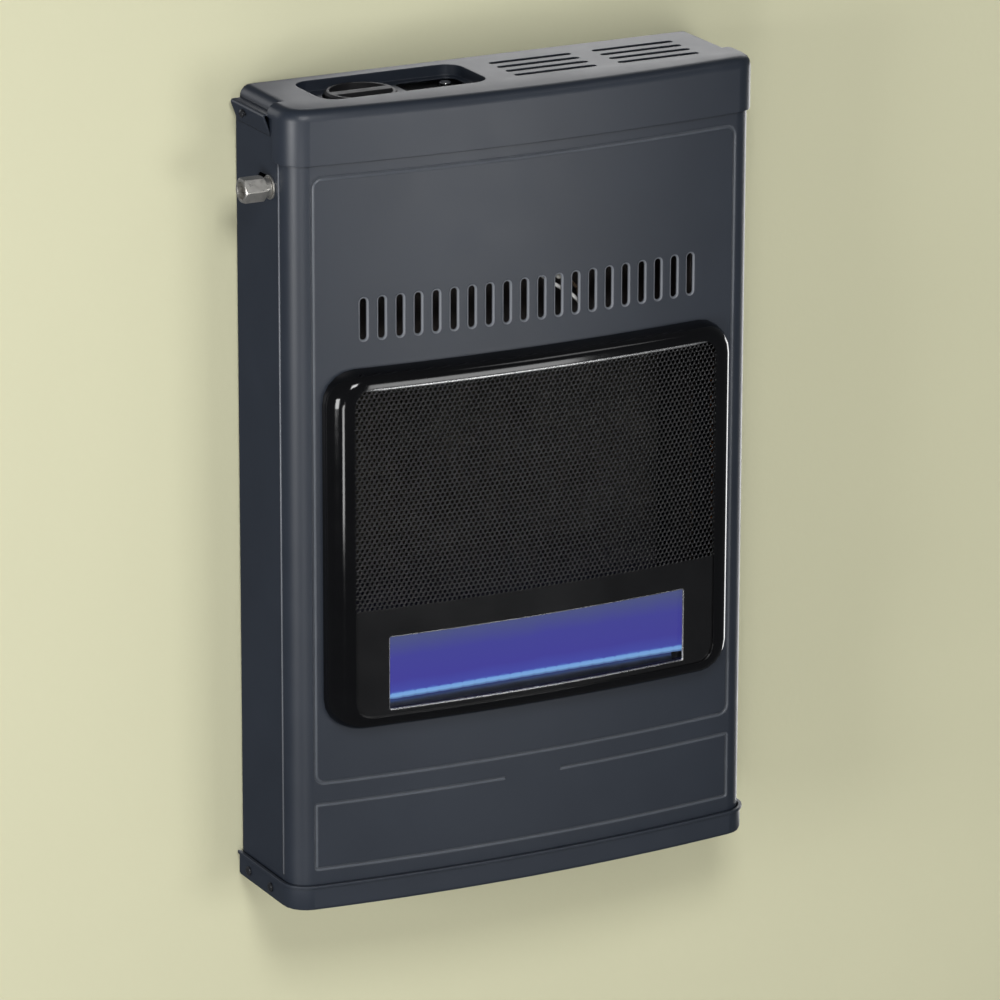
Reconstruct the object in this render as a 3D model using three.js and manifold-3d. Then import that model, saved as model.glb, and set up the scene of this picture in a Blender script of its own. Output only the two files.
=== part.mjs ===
// Wall mounted gas heater with a visible blue flame.
// Frame: X across, -Y out of the wall, +Z up. The origin is the middle of the back, on the wall plane.
import * as THREE from 'three';
import { mergeVertices } from 'three/addons/utils/BufferGeometryUtils.js';
import Module from 'manifold-3d';

const wasm = await Module();
wasm.setup();

// ---------------------------------------------------------------- driving dimensions, mm
const WIDTH = 400; // casing across the side panels
const HEIGHT = 640; // top of the cap to the underside of the tray
const SHEET = 1.2; // folded steel sheet
const SEAT = 0.3; // clearance between seated pieces
const EDGE_DEPTH = 94; // front panel at its side edges, from the wall
const BULGE = 14; // how far the middle of the front stands out past its edges
const CORNER = 18; // vertical corner radius of the front panel
const RETURN_Y = -75.9; // where the front panel's side returns end
const CAP_OUT = 2.7; // cap and tray stand outside the casing by this much
const CAP_DROP = 43; // height of the cap's front skirt
const ROLL = 8.5; // rolled edge around the cap
const TRAY_RISE = 21; // height of the tray's flange
const SLOT_COUNT = 20; // outlet slots in the front
const SLOT_SPAN = 283; // first slot to last slot
const SLOT_W = 8.2;
const SLOT_LOW = HEIGHT - 184.5; // slot ends, above the tray's underside
const SLOT_HIGH = HEIGHT - 149;
const FRAME_HALF = 175.5; // enamelled frame, half its width
const FRAME_LOW = 147;
const FRAME_HIGH = HEIGHT - 205;
const FRAME_R = 26;
const FRAME_PROUD = 18; // how far the frame stands out of the front panel
const GLASS_T = 3;
const KNOB_R = 28;
const KNOB_X = -114;
const KNOB_Y = -42;
const KNOB_PRESS = 5;
const IGNITER_X = -34;
const IGNITER_Y = -26;
const IGNITER_PRESS = 5;
const INLET_Y = -61;
const INLET_DROP = 65.5; // inlet axis, below the top
const BURNER_Z = 148;
const BURNER_Y = -72;

// ---------------------------------------------------------------- derived sizes
const HALF = WIDTH / 2;
const Z0 = -HEIGHT / 2; // underside of the tray
const TOP = HEIGHT / 2;
const up = (h) => Z0 + h; // height above the tray's underside
const down = (d) => TOP - d; // depth below the top of the cap
const FLOOR = Z0 + SHEET; // inside floor of the tray
const CEILING = TOP - SHEET; // underside of the cap's top sheet
const arcY = (x, out = 0) => -(EDGE_DEPTH + BULGE * (1 - (x / HALF) ** 2) + out);

// ---------------------------------------------------------------- helpers
const V = (x, y) => new THREE.Vector2(x, y);
const V3 = (x, y, z) => new THREE.Vector3(x, y, z);
const shapeOf = (points) => new THREE.Shape(points);
const range = (n) => Array.from({ length: n }, (_, i) => i);

function solid(geometry) {
  const bare = geometry.clone();
  bare.deleteAttribute('normal');
  bare.deleteAttribute('uv');
  const merged = mergeVertices(bare, 1e-5);
  const mesh = new wasm.Mesh({
    numProp: 3,
    vertProperties: new Float32Array(merged.attributes.position.array),
    triVerts: new Uint32Array(merged.index.array),
  });
  return new wasm.Manifold(mesh);
}

function geometryOf(manifold) {
  const mesh = manifold.getMesh();
  const geometry = new THREE.BufferGeometry();
  geometry.setAttribute('position', new THREE.BufferAttribute(mesh.vertProperties.slice(), 3));
  geometry.setIndex(new THREE.BufferAttribute(mesh.triVerts.slice(), 1));
  geometry.computeVertexNormals();
  return geometry;
}

// outline in plan, extruded upwards
function plan(shape, z0, z1) {
  const g = new THREE.ExtrudeGeometry(shape, { depth: z1 - z0, bevelEnabled: false, curveSegments: 6 });
  return solid(g.translate(0, 0, z0));
}

// outline seen from the front (x, z), extruded from yBack out to yFront
function facing(shape, yBack, yFront) {
  const g = new THREE.ExtrudeGeometry(shape, { depth: yBack - yFront, bevelEnabled: false, curveSegments: 6 });
  return solid(g.rotateX(Math.PI / 2).translate(0, yBack, 0));
}

// outline seen from the side (y, z), extruded from x0 to x1
function sideways(shape, x0, x1) {
  const g = new THREE.ExtrudeGeometry(shape, { depth: x1 - x0, bevelEnabled: false, curveSegments: 6 });
  const turn = new THREE.Matrix4().makeBasis(V3(0, 1, 0), V3(0, 0, 1), V3(1, 0, 0));
  return solid(g.applyMatrix4(turn).translate(x0, 0, 0));
}

function block(x0, x1, y0, y1, z0, z1) {
  const g = new THREE.BoxGeometry(x1 - x0, y1 - y0, z1 - z0);
  return solid(g.translate((x0 + x1) / 2, (y0 + y1) / 2, (z0 + z1) / 2));
}

// upright round bar
function pillar(x, y, r, z0, z1, n = 24) {
  const g = new THREE.CylinderGeometry(r, r, z1 - z0, n).rotateX(Math.PI / 2);
  return solid(g.translate(x, y, (z0 + z1) / 2));
}

// round bar along X
function rod(y, z, r, x0, x1, n = 24) {
  const g = new THREE.CylinderGeometry(r, r, x1 - x0, n).rotateZ(Math.PI / 2);
  return solid(g.translate((x0 + x1) / 2, y, z));
}

// round bar along Y
function pin(x, z, r, y0, y1, n = 24) {
  const g = new THREE.CylinderGeometry(r, r, y1 - y0, n);
  return solid(g.translate(x, (y0 + y1) / 2, z));
}

// bar turned from a profile of (radius, height) points, about an upright axis
function turned(points, n = 24) {
  const g = new THREE.LatheGeometry(points.map(([r, h]) => V(r, h)), n);
  return solid(g.rotateX(Math.PI / 2));
}

// round tube bent along a path
function tube(points, r, steps = 24, n = 6) {
  const curve = new THREE.CatmullRomCurve3(points, false, 'centripetal');
  const ring = shapeOf(range(n).map((i) => V(r * Math.cos((i * 2 * Math.PI) / n), r * Math.sin((i * 2 * Math.PI) / n))));
  return solid(new THREE.ExtrudeGeometry(ring, { steps, extrudePath: curve, bevelEnabled: false }));
}

// ring or bar turned about a line along X, from (radius, x) points
function turnedX(points, y, z, n = 24) {
  const g = new THREE.LatheGeometry(points.map(([r, x]) => V(r, x)), n);
  return solid(g.rotateZ(-Math.PI / 2).translate(0, y, z));
}

function roundRect(x0, x1, z0, z1, r, n = 5) {
  const out = [];
  const corners = [[x1 - r, z0 + r, -90], [x1 - r, z1 - r, 0], [x0 + r, z1 - r, 90], [x0 + r, z0 + r, 180]];
  for (const [cx, cz, start] of corners) {
    for (const i of range(n + 1)) {
      const a = ((start + (90 * i) / n) * Math.PI) / 180;
      out.push(V(cx + r * Math.cos(a), cz + r * Math.sin(a)));
    }
  }
  return out;
}

function hexagon(cx, cy, flats) {
  const r = flats / Math.sqrt(3);
  return shapeOf(range(6).map((i) => V(cx + r * Math.cos((i * Math.PI) / 3), cy + r * Math.sin((i * Math.PI) / 3))));
}

// plan outline of the casing, grown outwards by out, closed by a straight back edge at yBack
function caseOutline(out, yBack, n = 16) {
  const x0 = -HALF + CORNER;
  const slope = Math.atan((BULGE * 2 * -x0) / HALF ** 2);
  const joinX = x0 - CORNER * Math.sin(slope);
  const cy = arcY(joinX) + CORNER * Math.cos(slope);
  const left = [V(-HALF - out, yBack)];
  for (const i of range(6)) {
    const a = Math.PI + ((Math.PI / 2 - slope) * i) / 5;
    left.push(V(x0 + (CORNER + out) * Math.cos(a), cy + (CORNER + out) * Math.sin(a)));
  }
  const last = left[left.length - 1].x;
  const middle = range(n - 1).map((i) => {
    const x = last + ((i + 1) * -2 * last) / n;
    return V(x, arcY(x, out));
  });
  const right = left.map((p) => V(-p.x, p.y)).reverse();
  return shapeOf([...left, ...middle, ...right]);
}

// sheet curved like the front, between two stand-off distances
function curved(halfWidth, back, front, z0, z1, n = 16, x0 = -halfWidth) {
  const xs = range(n + 1).map((i) => x0 + ((halfWidth - x0) * i) / n);
  const near = xs.map((x) => V(x, arcY(x, front)));
  const far = xs.map((x) => V(x, arcY(x, back))).reverse();
  return plan(shapeOf([...near, ...far]), z0, z1);
}

const group = new THREE.Group();

function piece(name, body, colour, roughness, metalness, place = null) {
  const geometry = geometryOf(body);
  const material = new THREE.MeshStandardMaterial({ color: colour, roughness, metalness });
  const mesh = new THREE.Mesh(geometry, material);
  mesh.name = name;
  if (place) mesh.position.copy(place);
  group.add(mesh);
  return mesh;
}

const mirrored = (body) => body.mirror([1, 0, 0]);

// colours taken from the photograph
const PAINT = 0x4a4d54;
const ENAMEL = 0x0b0b0d;
const ZINC = 0x9a978c;
const STEEL = 0x8d9094;
const BRASS = 0xb08d4a;
const BLACK = 0x141416;

// ---------------------------------------------------------------- back panel with two keyholes
const KEY_X = 130;
const KEY_Z = down(110);
let back = block(-HALF + 4, HALF - 4, -SHEET, 0, FLOOR + SEAT, CEILING - SEAT);
back = back.add(block(-HALF + 14, HALF - 14, -9.5, 0, CEILING - SEAT - SHEET, CEILING - SEAT));
for (const x of [-HALF, HALF - 12]) back = back.subtract(block(x, x + 12, -4, 4, TOP - 12, TOP));
back = back.add(block(-HALF + 14, HALF - 14, -14, 0, FLOOR + SEAT, FLOOR + SEAT + SHEET));
for (const side of [-1, 1]) {
  back = back.subtract(pin(side * KEY_X, KEY_Z, 6, -4, 4, 16));
  back = back.subtract(block(side * KEY_X - 2.75, side * KEY_X + 2.75, -4, 4, KEY_Z, KEY_Z + 14));
}
for (const i of range(7)) {
  const x = (i - 3) * 40;
  back = back.subtract(block(x - 14, x + 14, -4, 4, up(60), up(67)));
}
piece('back_panel', back, STEEL, 0.45, 0.8);

// ---------------------------------------------------------------- side panels, joggled behind the front panel's returns
const JOG = SHEET + SEAT;
const sideShape = shapeOf([
  V(-HALF, -SHEET - SEAT), V(-HALF, RETURN_Y + SEAT), V(-HALF + JOG, RETURN_Y + SEAT), V(-HALF + JOG, -79),
  V(-HALF + JOG + SHEET, -79), V(-HALF + JOG + SHEET, RETURN_Y + JOG), V(-HALF + SHEET, RETURN_Y + JOG),
  V(-HALF + SHEET, -2 * SHEET - SEAT), V(-HALF + 14, -2 * SHEET - SEAT), V(-HALF + 14, -SHEET - SEAT),
].reverse());
const SIDE_TOP = TOP - ROLL - SHEET - SEAT;
const sideSheet = plan(sideShape, FLOOR + SEAT, SIDE_TOP);
const inletHole = sideways(shapeOf(roundRect(INLET_Y - 7.4, INLET_Y + 23, down(INLET_DROP) - 7.4, down(INLET_DROP) + 8, 7.3)), -HALF - 4, -HALF + 4);
const trayScrews = [-18.6, -58];
const TRAY_SCREW_Z = up(9.5);
const CAP_SCREW_Z = down(15.5);
const CAP_SCREW_Y = -26;
const CAP_SCREW_R = 2;
let leftSide = sideSheet;
for (const [y, z] of [...trayScrews.map((y) => [y, TRAY_SCREW_Z]), [CAP_SCREW_Y, CAP_SCREW_Z]]) leftSide = leftSide.subtract(rod(y, z, 2, -HALF - 4, -HALF + 6, 12));
const rightSide = mirrored(leftSide);
piece('left_side_panel', leftSide.subtract(inletHole), PAINT, 0.42, 0.1);
piece('right_side_panel', rightSide, PAINT, 0.42, 0.1);

// ---------------------------------------------------------------- front panel
const PANEL_LOW = FLOOR + SEAT;
const PANEL_HIGH = down(15);
let front = plan(caseOutline(0, RETURN_Y), PANEL_LOW, PANEL_HIGH);
front = front.subtract(plan(caseOutline(-SHEET, RETURN_Y + 1), PANEL_LOW - 1, PANEL_HIGH + 1));
const slotX = (i) => (i / (SLOT_COUNT - 1) - 0.5) * SLOT_SPAN;
for (const i of range(SLOT_COUNT)) {
  const x = slotX(i);
  const shape = shapeOf(roundRect(x - SLOT_W / 2, x + SLOT_W / 2, up(SLOT_LOW), up(SLOT_HIGH), SLOT_W / 2 - 0.01, 3));
  front = front.subtract(facing(shape, -60, -130));
}
const APERTURE_HALF = FRAME_HALF - 9;
const aperture = shapeOf(roundRect(-APERTURE_HALF, APERTURE_HALF, up(FRAME_LOW + 9), up(FRAME_HIGH - 9), FRAME_R - 8));
front = front.subtract(facing(aperture, -60, -130));

// pressed lines: shallow grooves round the upper field and the lower field
const GROOVE = 0.8;
const LINE = 3;
const skin = curved(HALF, -GROOVE, 6, PANEL_LOW, PANEL_HIGH, 32);
function ringShape(x0, x1, z0, z1, r) {
  const s = shapeOf(roundRect(x0, x1, z0, z1, r, 4));
  s.holes.push(new THREE.Path(roundRect(x0 + LINE, x1 - LINE, z0 + LINE, z1 - LINE, Math.max(r - LINE, 0.6), 4)));
  return s;
}
const FIELD = 183.5;
const upperLine = facing(ringShape(-FIELD, FIELD, up(102.5), down(52), 9), -60, -130);
let lowerLine = facing(ringShape(-FIELD, FIELD, up(32), up(88), 3), -60, -130);
lowerLine = lowerLine.subtract(block(-22.6, 25.9, -140, -50, up(60), up(95)));
front = front.subtract(upperLine.intersect(skin));
front = front.subtract(lowerLine.intersect(skin));
piece('front_panel', front, PAINT, 0.4, 0.1);

// ---------------------------------------------------------------- top cover
function capBody(out, top, roll) {
  const low = up(HEIGHT - CAP_DROP) - 30;
  const g = new THREE.ExtrudeGeometry(caseOutline(out, 30, 16), {
    depth: top - roll - low, bevelEnabled: true, bevelThickness: roll, bevelSize: roll,
    bevelOffset: -roll, bevelSegments: 4,
  });
  return solid(g.translate(0, 0, low));
}
const CAP_LOW = up(HEIGHT - CAP_DROP);
const CAP_SIDE_FRONT = -70;
let cap = capBody(CAP_OUT, TOP, ROLL).subtract(capBody(CAP_OUT - SHEET, TOP - SHEET, ROLL - SHEET));
cap = cap.subtract(block(-300, 300, -0.5, 60, -600, 600));
cap = cap.subtract(block(-300, 300, -200, 60, -600, CAP_LOW));
const SIDE_SKIRT_LOW = TOP - ROLL - 0.6;
cap = cap.subtract(block(-300, 300, CAP_SIDE_FRONT, 60, -600, SIDE_SKIRT_LOW - 1.2));

// ledge along each side: the roll steps in behind it, and its underside slants back to the side panel
const LEDGE_IN = 6.7; // how far the roll steps in
const LEDGE_OUT = 3.3; // how far the ledge stands out past the cap's side
const LEDGE_BACK = -5;
const LEDGE_FRONT = -62;
const wallX = -HALF - CAP_OUT;
const stepX = wallX + LEDGE_IN;
const rollX = stepX + ROLL;
const rollArc = (r, dx = 0) => range(6).map((i) => V(rollX + dx - r * Math.cos((i / 5) * Math.PI / 2), TOP - ROLL + r * Math.sin((i / 5) * Math.PI / 2)));
const LEDGE_Z = TOP - ROLL;
const outside = shapeOf([
  V(wallX - 10, LEDGE_Z - 2), V(stepX, LEDGE_Z - 2), ...rollArc(ROLL), V(rollX, TOP + 2), V(wallX - 10, TOP + 2),
]);
cap = cap.subtract(facing(outside, 2, LEDGE_FRONT)).subtract(mirrored(facing(outside, 2, LEDGE_FRONT)));
const innerArc = rollArc(ROLL - SHEET).reverse();
const stepRoll = facing(shapeOf([
  V(stepX, LEDGE_Z - SHEET), V(stepX, LEDGE_Z), ...rollArc(ROLL).slice(1), V(rollX + 0.4, TOP), V(rollX + 0.4, TOP - SHEET),
  ...innerArc, V(stepX + SHEET, LEDGE_Z - SHEET),
].reverse()), -0.5, LEDGE_FRONT);
const outX = wallX - LEDGE_OUT;
const lowX = -HALF - SEAT;
const LEDGE_LOW = TOP - 26;
const ledge = facing(shapeOf([
  V(stepX + 0.5, LEDGE_Z), V(outX + 1.8, LEDGE_Z), V(outX + 0.6, LEDGE_Z - 0.5), V(outX, LEDGE_Z - 1.8),
  V(outX + 0.3, LEDGE_Z - 3.2), V(lowX, LEDGE_LOW), V(lowX, LEDGE_LOW + 3), V(outX + 1.6, LEDGE_Z - 2.9),
  V(outX + 1.3, LEDGE_Z - 1.9), V(outX + 2, LEDGE_Z - SHEET), V(stepX + 0.5, LEDGE_Z - SHEET),
]), LEDGE_BACK, LEDGE_FRONT);
const endWall = facing(shapeOf([
  V(wallX - 5, LEDGE_Z - SHEET), V(rollX, LEDGE_Z - SHEET), V(rollX, TOP + 1), V(wallX - 5, TOP + 1),
]), LEDGE_FRONT + 0.2, LEDGE_FRONT - SHEET).intersect(capBody(CAP_OUT, TOP, ROLL));
for (const part of [stepRoll, ledge, endWall]) cap = cap.add(part).add(mirrored(part));

// pressed recess that holds the controls
const RECESS = { x0: -160, x1: -19, y0: -75, y1: -12, r: 14 };
const recessDeep = TOP - ROLL;
const pan = shapeOf(roundRect(RECESS.x0 - SHEET, RECESS.x1 + SHEET, RECESS.y0 - SHEET, RECESS.y1 + SHEET, RECESS.r + SHEET));
const well = shapeOf(roundRect(RECESS.x0, RECESS.x1, RECESS.y0, RECESS.y1, RECESS.r));
cap = cap.add(plan(pan, recessDeep - SHEET, TOP - 0.6));
cap = cap.subtract(plan(well, recessDeep, TOP + 2));
const KNOB_HOLE = KNOB_R + 1.6;
cap = cap.subtract(pillar(KNOB_X, KNOB_Y, KNOB_HOLE, TOP - 20, TOP + 4, 32));
const HATCH = shapeOf(roundRect(-76.5, -24.5, -61, -19, 8));
cap = cap.subtract(plan(HATCH, TOP - 20, TOP + 4));

// outlet louvres in the top: two groups of four
const louvreX = [[4, 75], [94, 165]];
for (const [x0, x1] of louvreX) {
  for (const row of range(4)) {
    const y = -26 - row * 14;
    cap = cap.subtract(plan(shapeOf(roundRect(x0, x1, y - 3, y + 3, 2.9, 3)), TOP - 20, TOP + 4));
  }
}
for (const x0 of [-HALF - 14, HALF - 4]) {
  cap = cap.subtract(rod(CAP_SCREW_Y, CAP_SCREW_Z, 2, x0, x0 + 18, 12));
}
piece('top_cover', cap, PAINT, 0.4, 0.1);

// ---------------------------------------------------------------- bottom tray
function trayBody(out, low, bevel) {
  const g = new THREE.ExtrudeGeometry(caseOutline(out, 30, 16), {
    depth: 60, bevelEnabled: true, bevelThickness: bevel, bevelSize: bevel, bevelOffset: -bevel, bevelSegments: 2,
  });
  return solid(g.translate(0, 0, low + bevel));
}
const TRAY_HIGH = up(TRAY_RISE);
let tray = trayBody(CAP_OUT, Z0, 3);
tray = tray.add(plan(caseOutline(CAP_OUT + 1.5, 30), TRAY_HIGH - 2.2, TRAY_HIGH));
tray = tray.subtract(trayBody(CAP_OUT - SHEET, FLOOR, 3 - SHEET));
tray = tray.subtract(block(-300, 300, -0.5, 60, -600, 600));
tray = tray.subtract(block(-300, 300, -200, 60, TRAY_HIGH, 600));
for (const x0 of [-HALF - 14, HALF - 4]) {
  for (const y of trayScrews) tray = tray.subtract(rod(y, TRAY_SCREW_Z, 2, x0, x0 + 18, 12));
}
for (const row of range(3)) {
  for (const i of range(7)) {
    const x = (i - 3) * 44;
    const y = -28 - row * 18;
    tray = tray.subtract(plan(shapeOf(roundRect(x - 16, x + 16, y - 3, y + 3, 2.9, 2)), Z0 - 4, FLOOR + 4));
  }
}
piece('bottom_tray', tray, PAINT, 0.4, 0.1);

// ---------------------------------------------------------------- enamelled front frame, one bulging pressed ring
const frameSection = [
  [0, SEAT], [0.5, 5], [2, 9.5], [4.6, 13.5], [8.2, 16.4], [12.5, 17.7], [20, FRAME_PROUD],
  [20, FRAME_PROUD - SHEET], [13, 16.78], [9.2, 15.5], [5.8, 12.6], [3.4, 9], [1.8, 5], [1.3, SEAT],
];
function frameRing(inset, count) {
  const s = inset / 20;
  const hw = FRAME_HALF - 18.5 * s;
  const outline = roundRect(-hw, hw, up(FRAME_LOW + 12 * s), up(FRAME_HIGH - 12 * s), FRAME_R - 12 * s, 5);
  const out = [];
  outline.forEach((p, i) => {
    const q = outline[(i + 1) % outline.length];
    const steps = Math.abs(q.x - p.x) > 60 ? count : 1;
    for (const k of range(steps)) out.push(p.clone().lerp(q, k / steps));
  });
  return out;
}
function ringSweep(section, ringOf) {
  const rings = section.map(([inset, proud]) => ringOf(inset).map((p) => [p.x, arcY(p.x, proud), p.y]));
  const n = rings[0].length;
  const index = [];
  rings.forEach((ring, k) => {
    const a = k * n;
    const b = ((k + 1) % rings.length) * n;
    for (const i of range(n)) {
      const j = (i + 1) % n;
      index.push(a + i, b + j, b + i, a + i, a + j, b + j);
    }
  });
  const g = new THREE.BufferGeometry();
  g.setAttribute('position', new THREE.BufferAttribute(new Float32Array(rings.flat(2)), 3));
  g.setIndex(index);
  return g;
}
const frameSolid = solid(ringSweep(frameSection, (inset) => frameRing(inset, 14)));
piece('enamelled_frame', frameSolid, ENAMEL, 0.12, 0.1);

// ---------------------------------------------------------------- perforated plate with the flame window, and its glass
const PLATE_FRONT = FRAME_PROUD - SHEET - SEAT;
const PLATE_HALF = FRAME_HALF - 13.5;
const PLATE_LOW = FRAME_LOW + 8.5;
const PLATE_HIGH = FRAME_HIGH - 8.5;
let plate = curved(PLATE_HALF, PLATE_FRONT - SHEET, PLATE_FRONT, up(PLATE_LOW), up(PLATE_HIGH), 20);
const plateOutline = shapeOf(roundRect(-PLATE_HALF, PLATE_HALF, up(PLATE_LOW), up(PLATE_HIGH), 14));
plate = plate.intersect(facing(plateOutline, -60, -160));
const WINDOW = { half: 129.5, low: 163, high: 223 };
const windowShape = shapeOf(roundRect(-WINDOW.half, WINDOW.half, up(WINDOW.low), up(WINDOW.high), 2, 2));
plate = plate.subtract(facing(windowShape, -60, -160));
piece('perforated_plate', plate, ENAMEL, 0.3, 0.2);

const GLASS_FRONT = PLATE_FRONT - SHEET - SEAT;
const GLASS_BACK = GLASS_FRONT - GLASS_T;
const GLASS_HALF = WINDOW.half + 6;
const GLASS_LOW = WINDOW.low - 4.5;
const GLASS_HIGH = WINDOW.high + 5;
piece('window_glass', curved(GLASS_HALF, GLASS_BACK, GLASS_FRONT, up(GLASS_LOW), up(GLASS_HIGH), 20), 0x8fa0c8, 0.03, 0);

// Z-section rails hold the glass against the plate, above and below
function rail(z0, z1, lip0, lip1) {
  const strap = curved(GLASS_HALF, GLASS_BACK - SEAT - SHEET, GLASS_BACK - SEAT, up(z0), up(z1), 14);
  return strap.add(curved(GLASS_HALF, GLASS_BACK - SEAT - SHEET, GLASS_FRONT, up(lip0), up(lip1), 14));
}
const LIP = 1.4;
piece('glass_rail_upper', rail(GLASS_HIGH - 5, GLASS_HIGH + 6, GLASS_HIGH + SEAT, GLASS_HIGH + 6), STEEL, 0.5, 0.8);
piece('glass_rail_lower', rail(PLATE_LOW + LIP, GLASS_LOW + 5, PLATE_LOW + LIP, GLASS_LOW - SEAT), STEEL, 0.5, 0.8);

// ---------------------------------------------------------------- firebox and the hood above it
const BOX_HALF = 150;
const BOX_BACK = -30;
const BOX_FRONT = -88;
const BOX_LOW = up(BURNER_Z - 20);
const BOX_HIGH = up(FRAME_HIGH - 10);
const boxPlan = shapeOf([
  V(-BOX_HALF, BOX_BACK), V(-BOX_HALF, BOX_FRONT), V(-BOX_HALF + SHEET, BOX_FRONT),
  V(-BOX_HALF + SHEET, BOX_BACK - SHEET), V(BOX_HALF - SHEET, BOX_BACK - SHEET),
  V(BOX_HALF - SHEET, BOX_FRONT), V(BOX_HALF, BOX_FRONT), V(BOX_HALF, BOX_BACK),
]);
const MIX_R = 8;
const PILOT_Z = up(BURNER_Z + 24);
const PROBE_Y = BURNER_Y + 12;
const SPARK_Y = BURNER_Y - 11;
const pilotLine = [[PROBE_Y, 2.5], [BURNER_Y, 4.5], [SPARK_Y, 3]];
let firebox = plan(boxPlan, BOX_LOW, BOX_HIGH);
firebox = firebox.add(block(-BOX_HALF, BOX_HALF, BOX_FRONT, BOX_BACK, BOX_LOW, BOX_LOW + SHEET));
firebox = firebox.subtract(rod(BURNER_Y, up(BURNER_Z), MIX_R + 1, -BOX_HALF - 5, -BOX_HALF + 5, 16));
for (const [y, r] of pilotLine) {
  firebox = firebox.subtract(rod(y, PILOT_Z, r + 0.5, BOX_HALF - 5, BOX_HALF + 5, 16));
}
for (const i of range(6)) {
  const x = (i - 2.5) * 44;
  firebox = firebox.subtract(block(x - 16, x + 16, -56, -48, BOX_LOW - 2, BOX_LOW + 4));
}
piece('firebox', firebox, STEEL, 0.5, 0.8);

const HOOD_HIGH = down(134);
let hood = plan(boxPlan, BOX_HIGH + SEAT, HOOD_HIGH);
const roof = shapeOf([
  V(BOX_BACK, HOOD_HIGH), V(BOX_BACK, HOOD_HIGH - SHEET), V(BOX_FRONT, HOOD_HIGH + 12 - SHEET),
  V(BOX_FRONT, HOOD_HIGH + 12),
]);
hood = hood.add(sideways(roof, -BOX_HALF, BOX_HALF));
piece('heat_hood', hood, STEEL, 0.5, 0.8);

// hat-section brackets carry the firebox off the back panel
const HAT_X = 100;
function hat(x) {
  const y1 = -SHEET - SEAT;
  const y2 = BOX_BACK + SEAT;
  return plan(shapeOf([
    V(x - 22, y1), V(x - 22, y1 - SHEET), V(x - 10, y1 - SHEET), V(x - 10, y2), V(x + 10, y2),
    V(x + 10, y1 - SHEET), V(x + 22, y1 - SHEET), V(x + 22, y1), V(x + 10 - SHEET, y1),
    V(x + 10 - SHEET, y2 + SHEET), V(x - 10 + SHEET, y2 + SHEET), V(x - 10 + SHEET, y1),
  ]), up(170), BOX_HIGH - 15);
}
piece('firebox_bracket_left', hat(-HAT_X), STEEL, 0.5, 0.8);
piece('firebox_bracket_right', hat(HAT_X), STEEL, 0.5, 0.8);

const BOARD_T = 10;
const boardBack = BOX_BACK - SHEET - SEAT;
const BOARD_LOW = BOX_LOW + SHEET + SEAT;
piece('fibre_board', block(-BOX_HALF + 3, BOX_HALF - 3, boardBack - BOARD_T, boardBack, BOARD_LOW, BOX_HIGH - 6),
  0xb9b4a6, 0.9, 0);

// ---------------------------------------------------------------- burner bar, mixing tube and injector
const BAR_HALF = 138;
const BAR_W = 26;
const BAR_H = 22;
const barZ = up(BURNER_Z);
let bar = sideways(
  shapeOf(roundRect(BURNER_Y - BAR_W / 2, BURNER_Y + BAR_W / 2, barZ - BAR_H / 2, barZ + BAR_H / 2, 6)),
  -BAR_HALF, BAR_HALF);
bar = bar.subtract(sideways(
  shapeOf(roundRect(BURNER_Y - BAR_W / 2 + SHEET, BURNER_Y + BAR_W / 2 - SHEET,
    barZ - BAR_H / 2 + SHEET, barZ + BAR_H / 2 - SHEET, 6 - SHEET)),
  -BAR_HALF + SHEET, BAR_HALF - SHEET));
bar = bar.subtract(rod(BURNER_Y, barZ, MIX_R + SEAT, -BAR_HALF - 2, -BAR_HALF + 3, 16));
for (const i of range(26)) {
  const x = (i - 12.5) * 10.2;
  bar = bar.subtract(block(x - 1, x + 1, BURNER_Y - 6, BURNER_Y + 6, barZ + BAR_H / 2 - 3, barZ + BAR_H / 2 + 2));
}
piece('burner_bar', bar, STEEL, 0.45, 0.8);

function foot(x) {
  const z0 = BOX_LOW + SHEET + SEAT;
  const z1 = barZ - BAR_H / 2 - SEAT;
  return facing(shapeOf([
    V(x - 8, z0), V(x - 8 + SHEET, z0), V(x - 8 + SHEET, z1 - SHEET), V(x + 8 - SHEET, z1 - SHEET),
    V(x + 8 - SHEET, z0), V(x + 8, z0), V(x + 8, z1), V(x - 8, z1),
  ]), BURNER_Y + 12, BURNER_Y - 12);
}
piece('burner_foot_left', foot(-100), STEEL, 0.5, 0.8);
piece('burner_foot_right', foot(100), STEEL, 0.5, 0.8);

const BELL_X = -178;
const mixing = turnedX([
  [MIX_R + 3, BELL_X], [MIX_R + 3, BELL_X + 1], [MIX_R, BELL_X + 8], [MIX_R, -BAR_HALF + 12],
  [MIX_R - SHEET, -BAR_HALF + 12], [MIX_R - SHEET, BELL_X + 8.4], [MIX_R + 1.6, BELL_X], [MIX_R + 3, BELL_X],
], BURNER_Y, barZ);
piece('mixing_tube', mixing, STEEL, 0.45, 0.8);

const ARM_X = -186;
let arm = plan(shapeOf([
  V(-BOX_HALF - SEAT, -34), V(-BOX_HALF - SEAT, -52), V(ARM_X + SHEET, -52), V(ARM_X + SHEET, -84),
  V(ARM_X, -84), V(ARM_X, -52 + SHEET), V(-BOX_HALF - SEAT - SHEET, -52 + SHEET), V(-BOX_HALF - SEAT - SHEET, -34),
].reverse()), barZ - 12, barZ + 12);
arm = arm.subtract(rod(BURNER_Y, barZ, 4.8, ARM_X - 3, ARM_X + 4, 16));
piece('injector_bracket', arm, STEEL, 0.5, 0.8);

let injector = block(ARM_X - SEAT - 9, ARM_X - SEAT, BURNER_Y - 7, BURNER_Y + 7, barZ - 7, barZ + 7);
injector = injector.add(turnedX([
  [0, ARM_X - 3], [4.5, ARM_X - 3], [4.5, ARM_X + 6], [2.4, ARM_X + 11], [0, ARM_X + 11],
], BURNER_Y, barZ, 16));
piece('injector', injector, BRASS, 0.35, 0.9);

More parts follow.
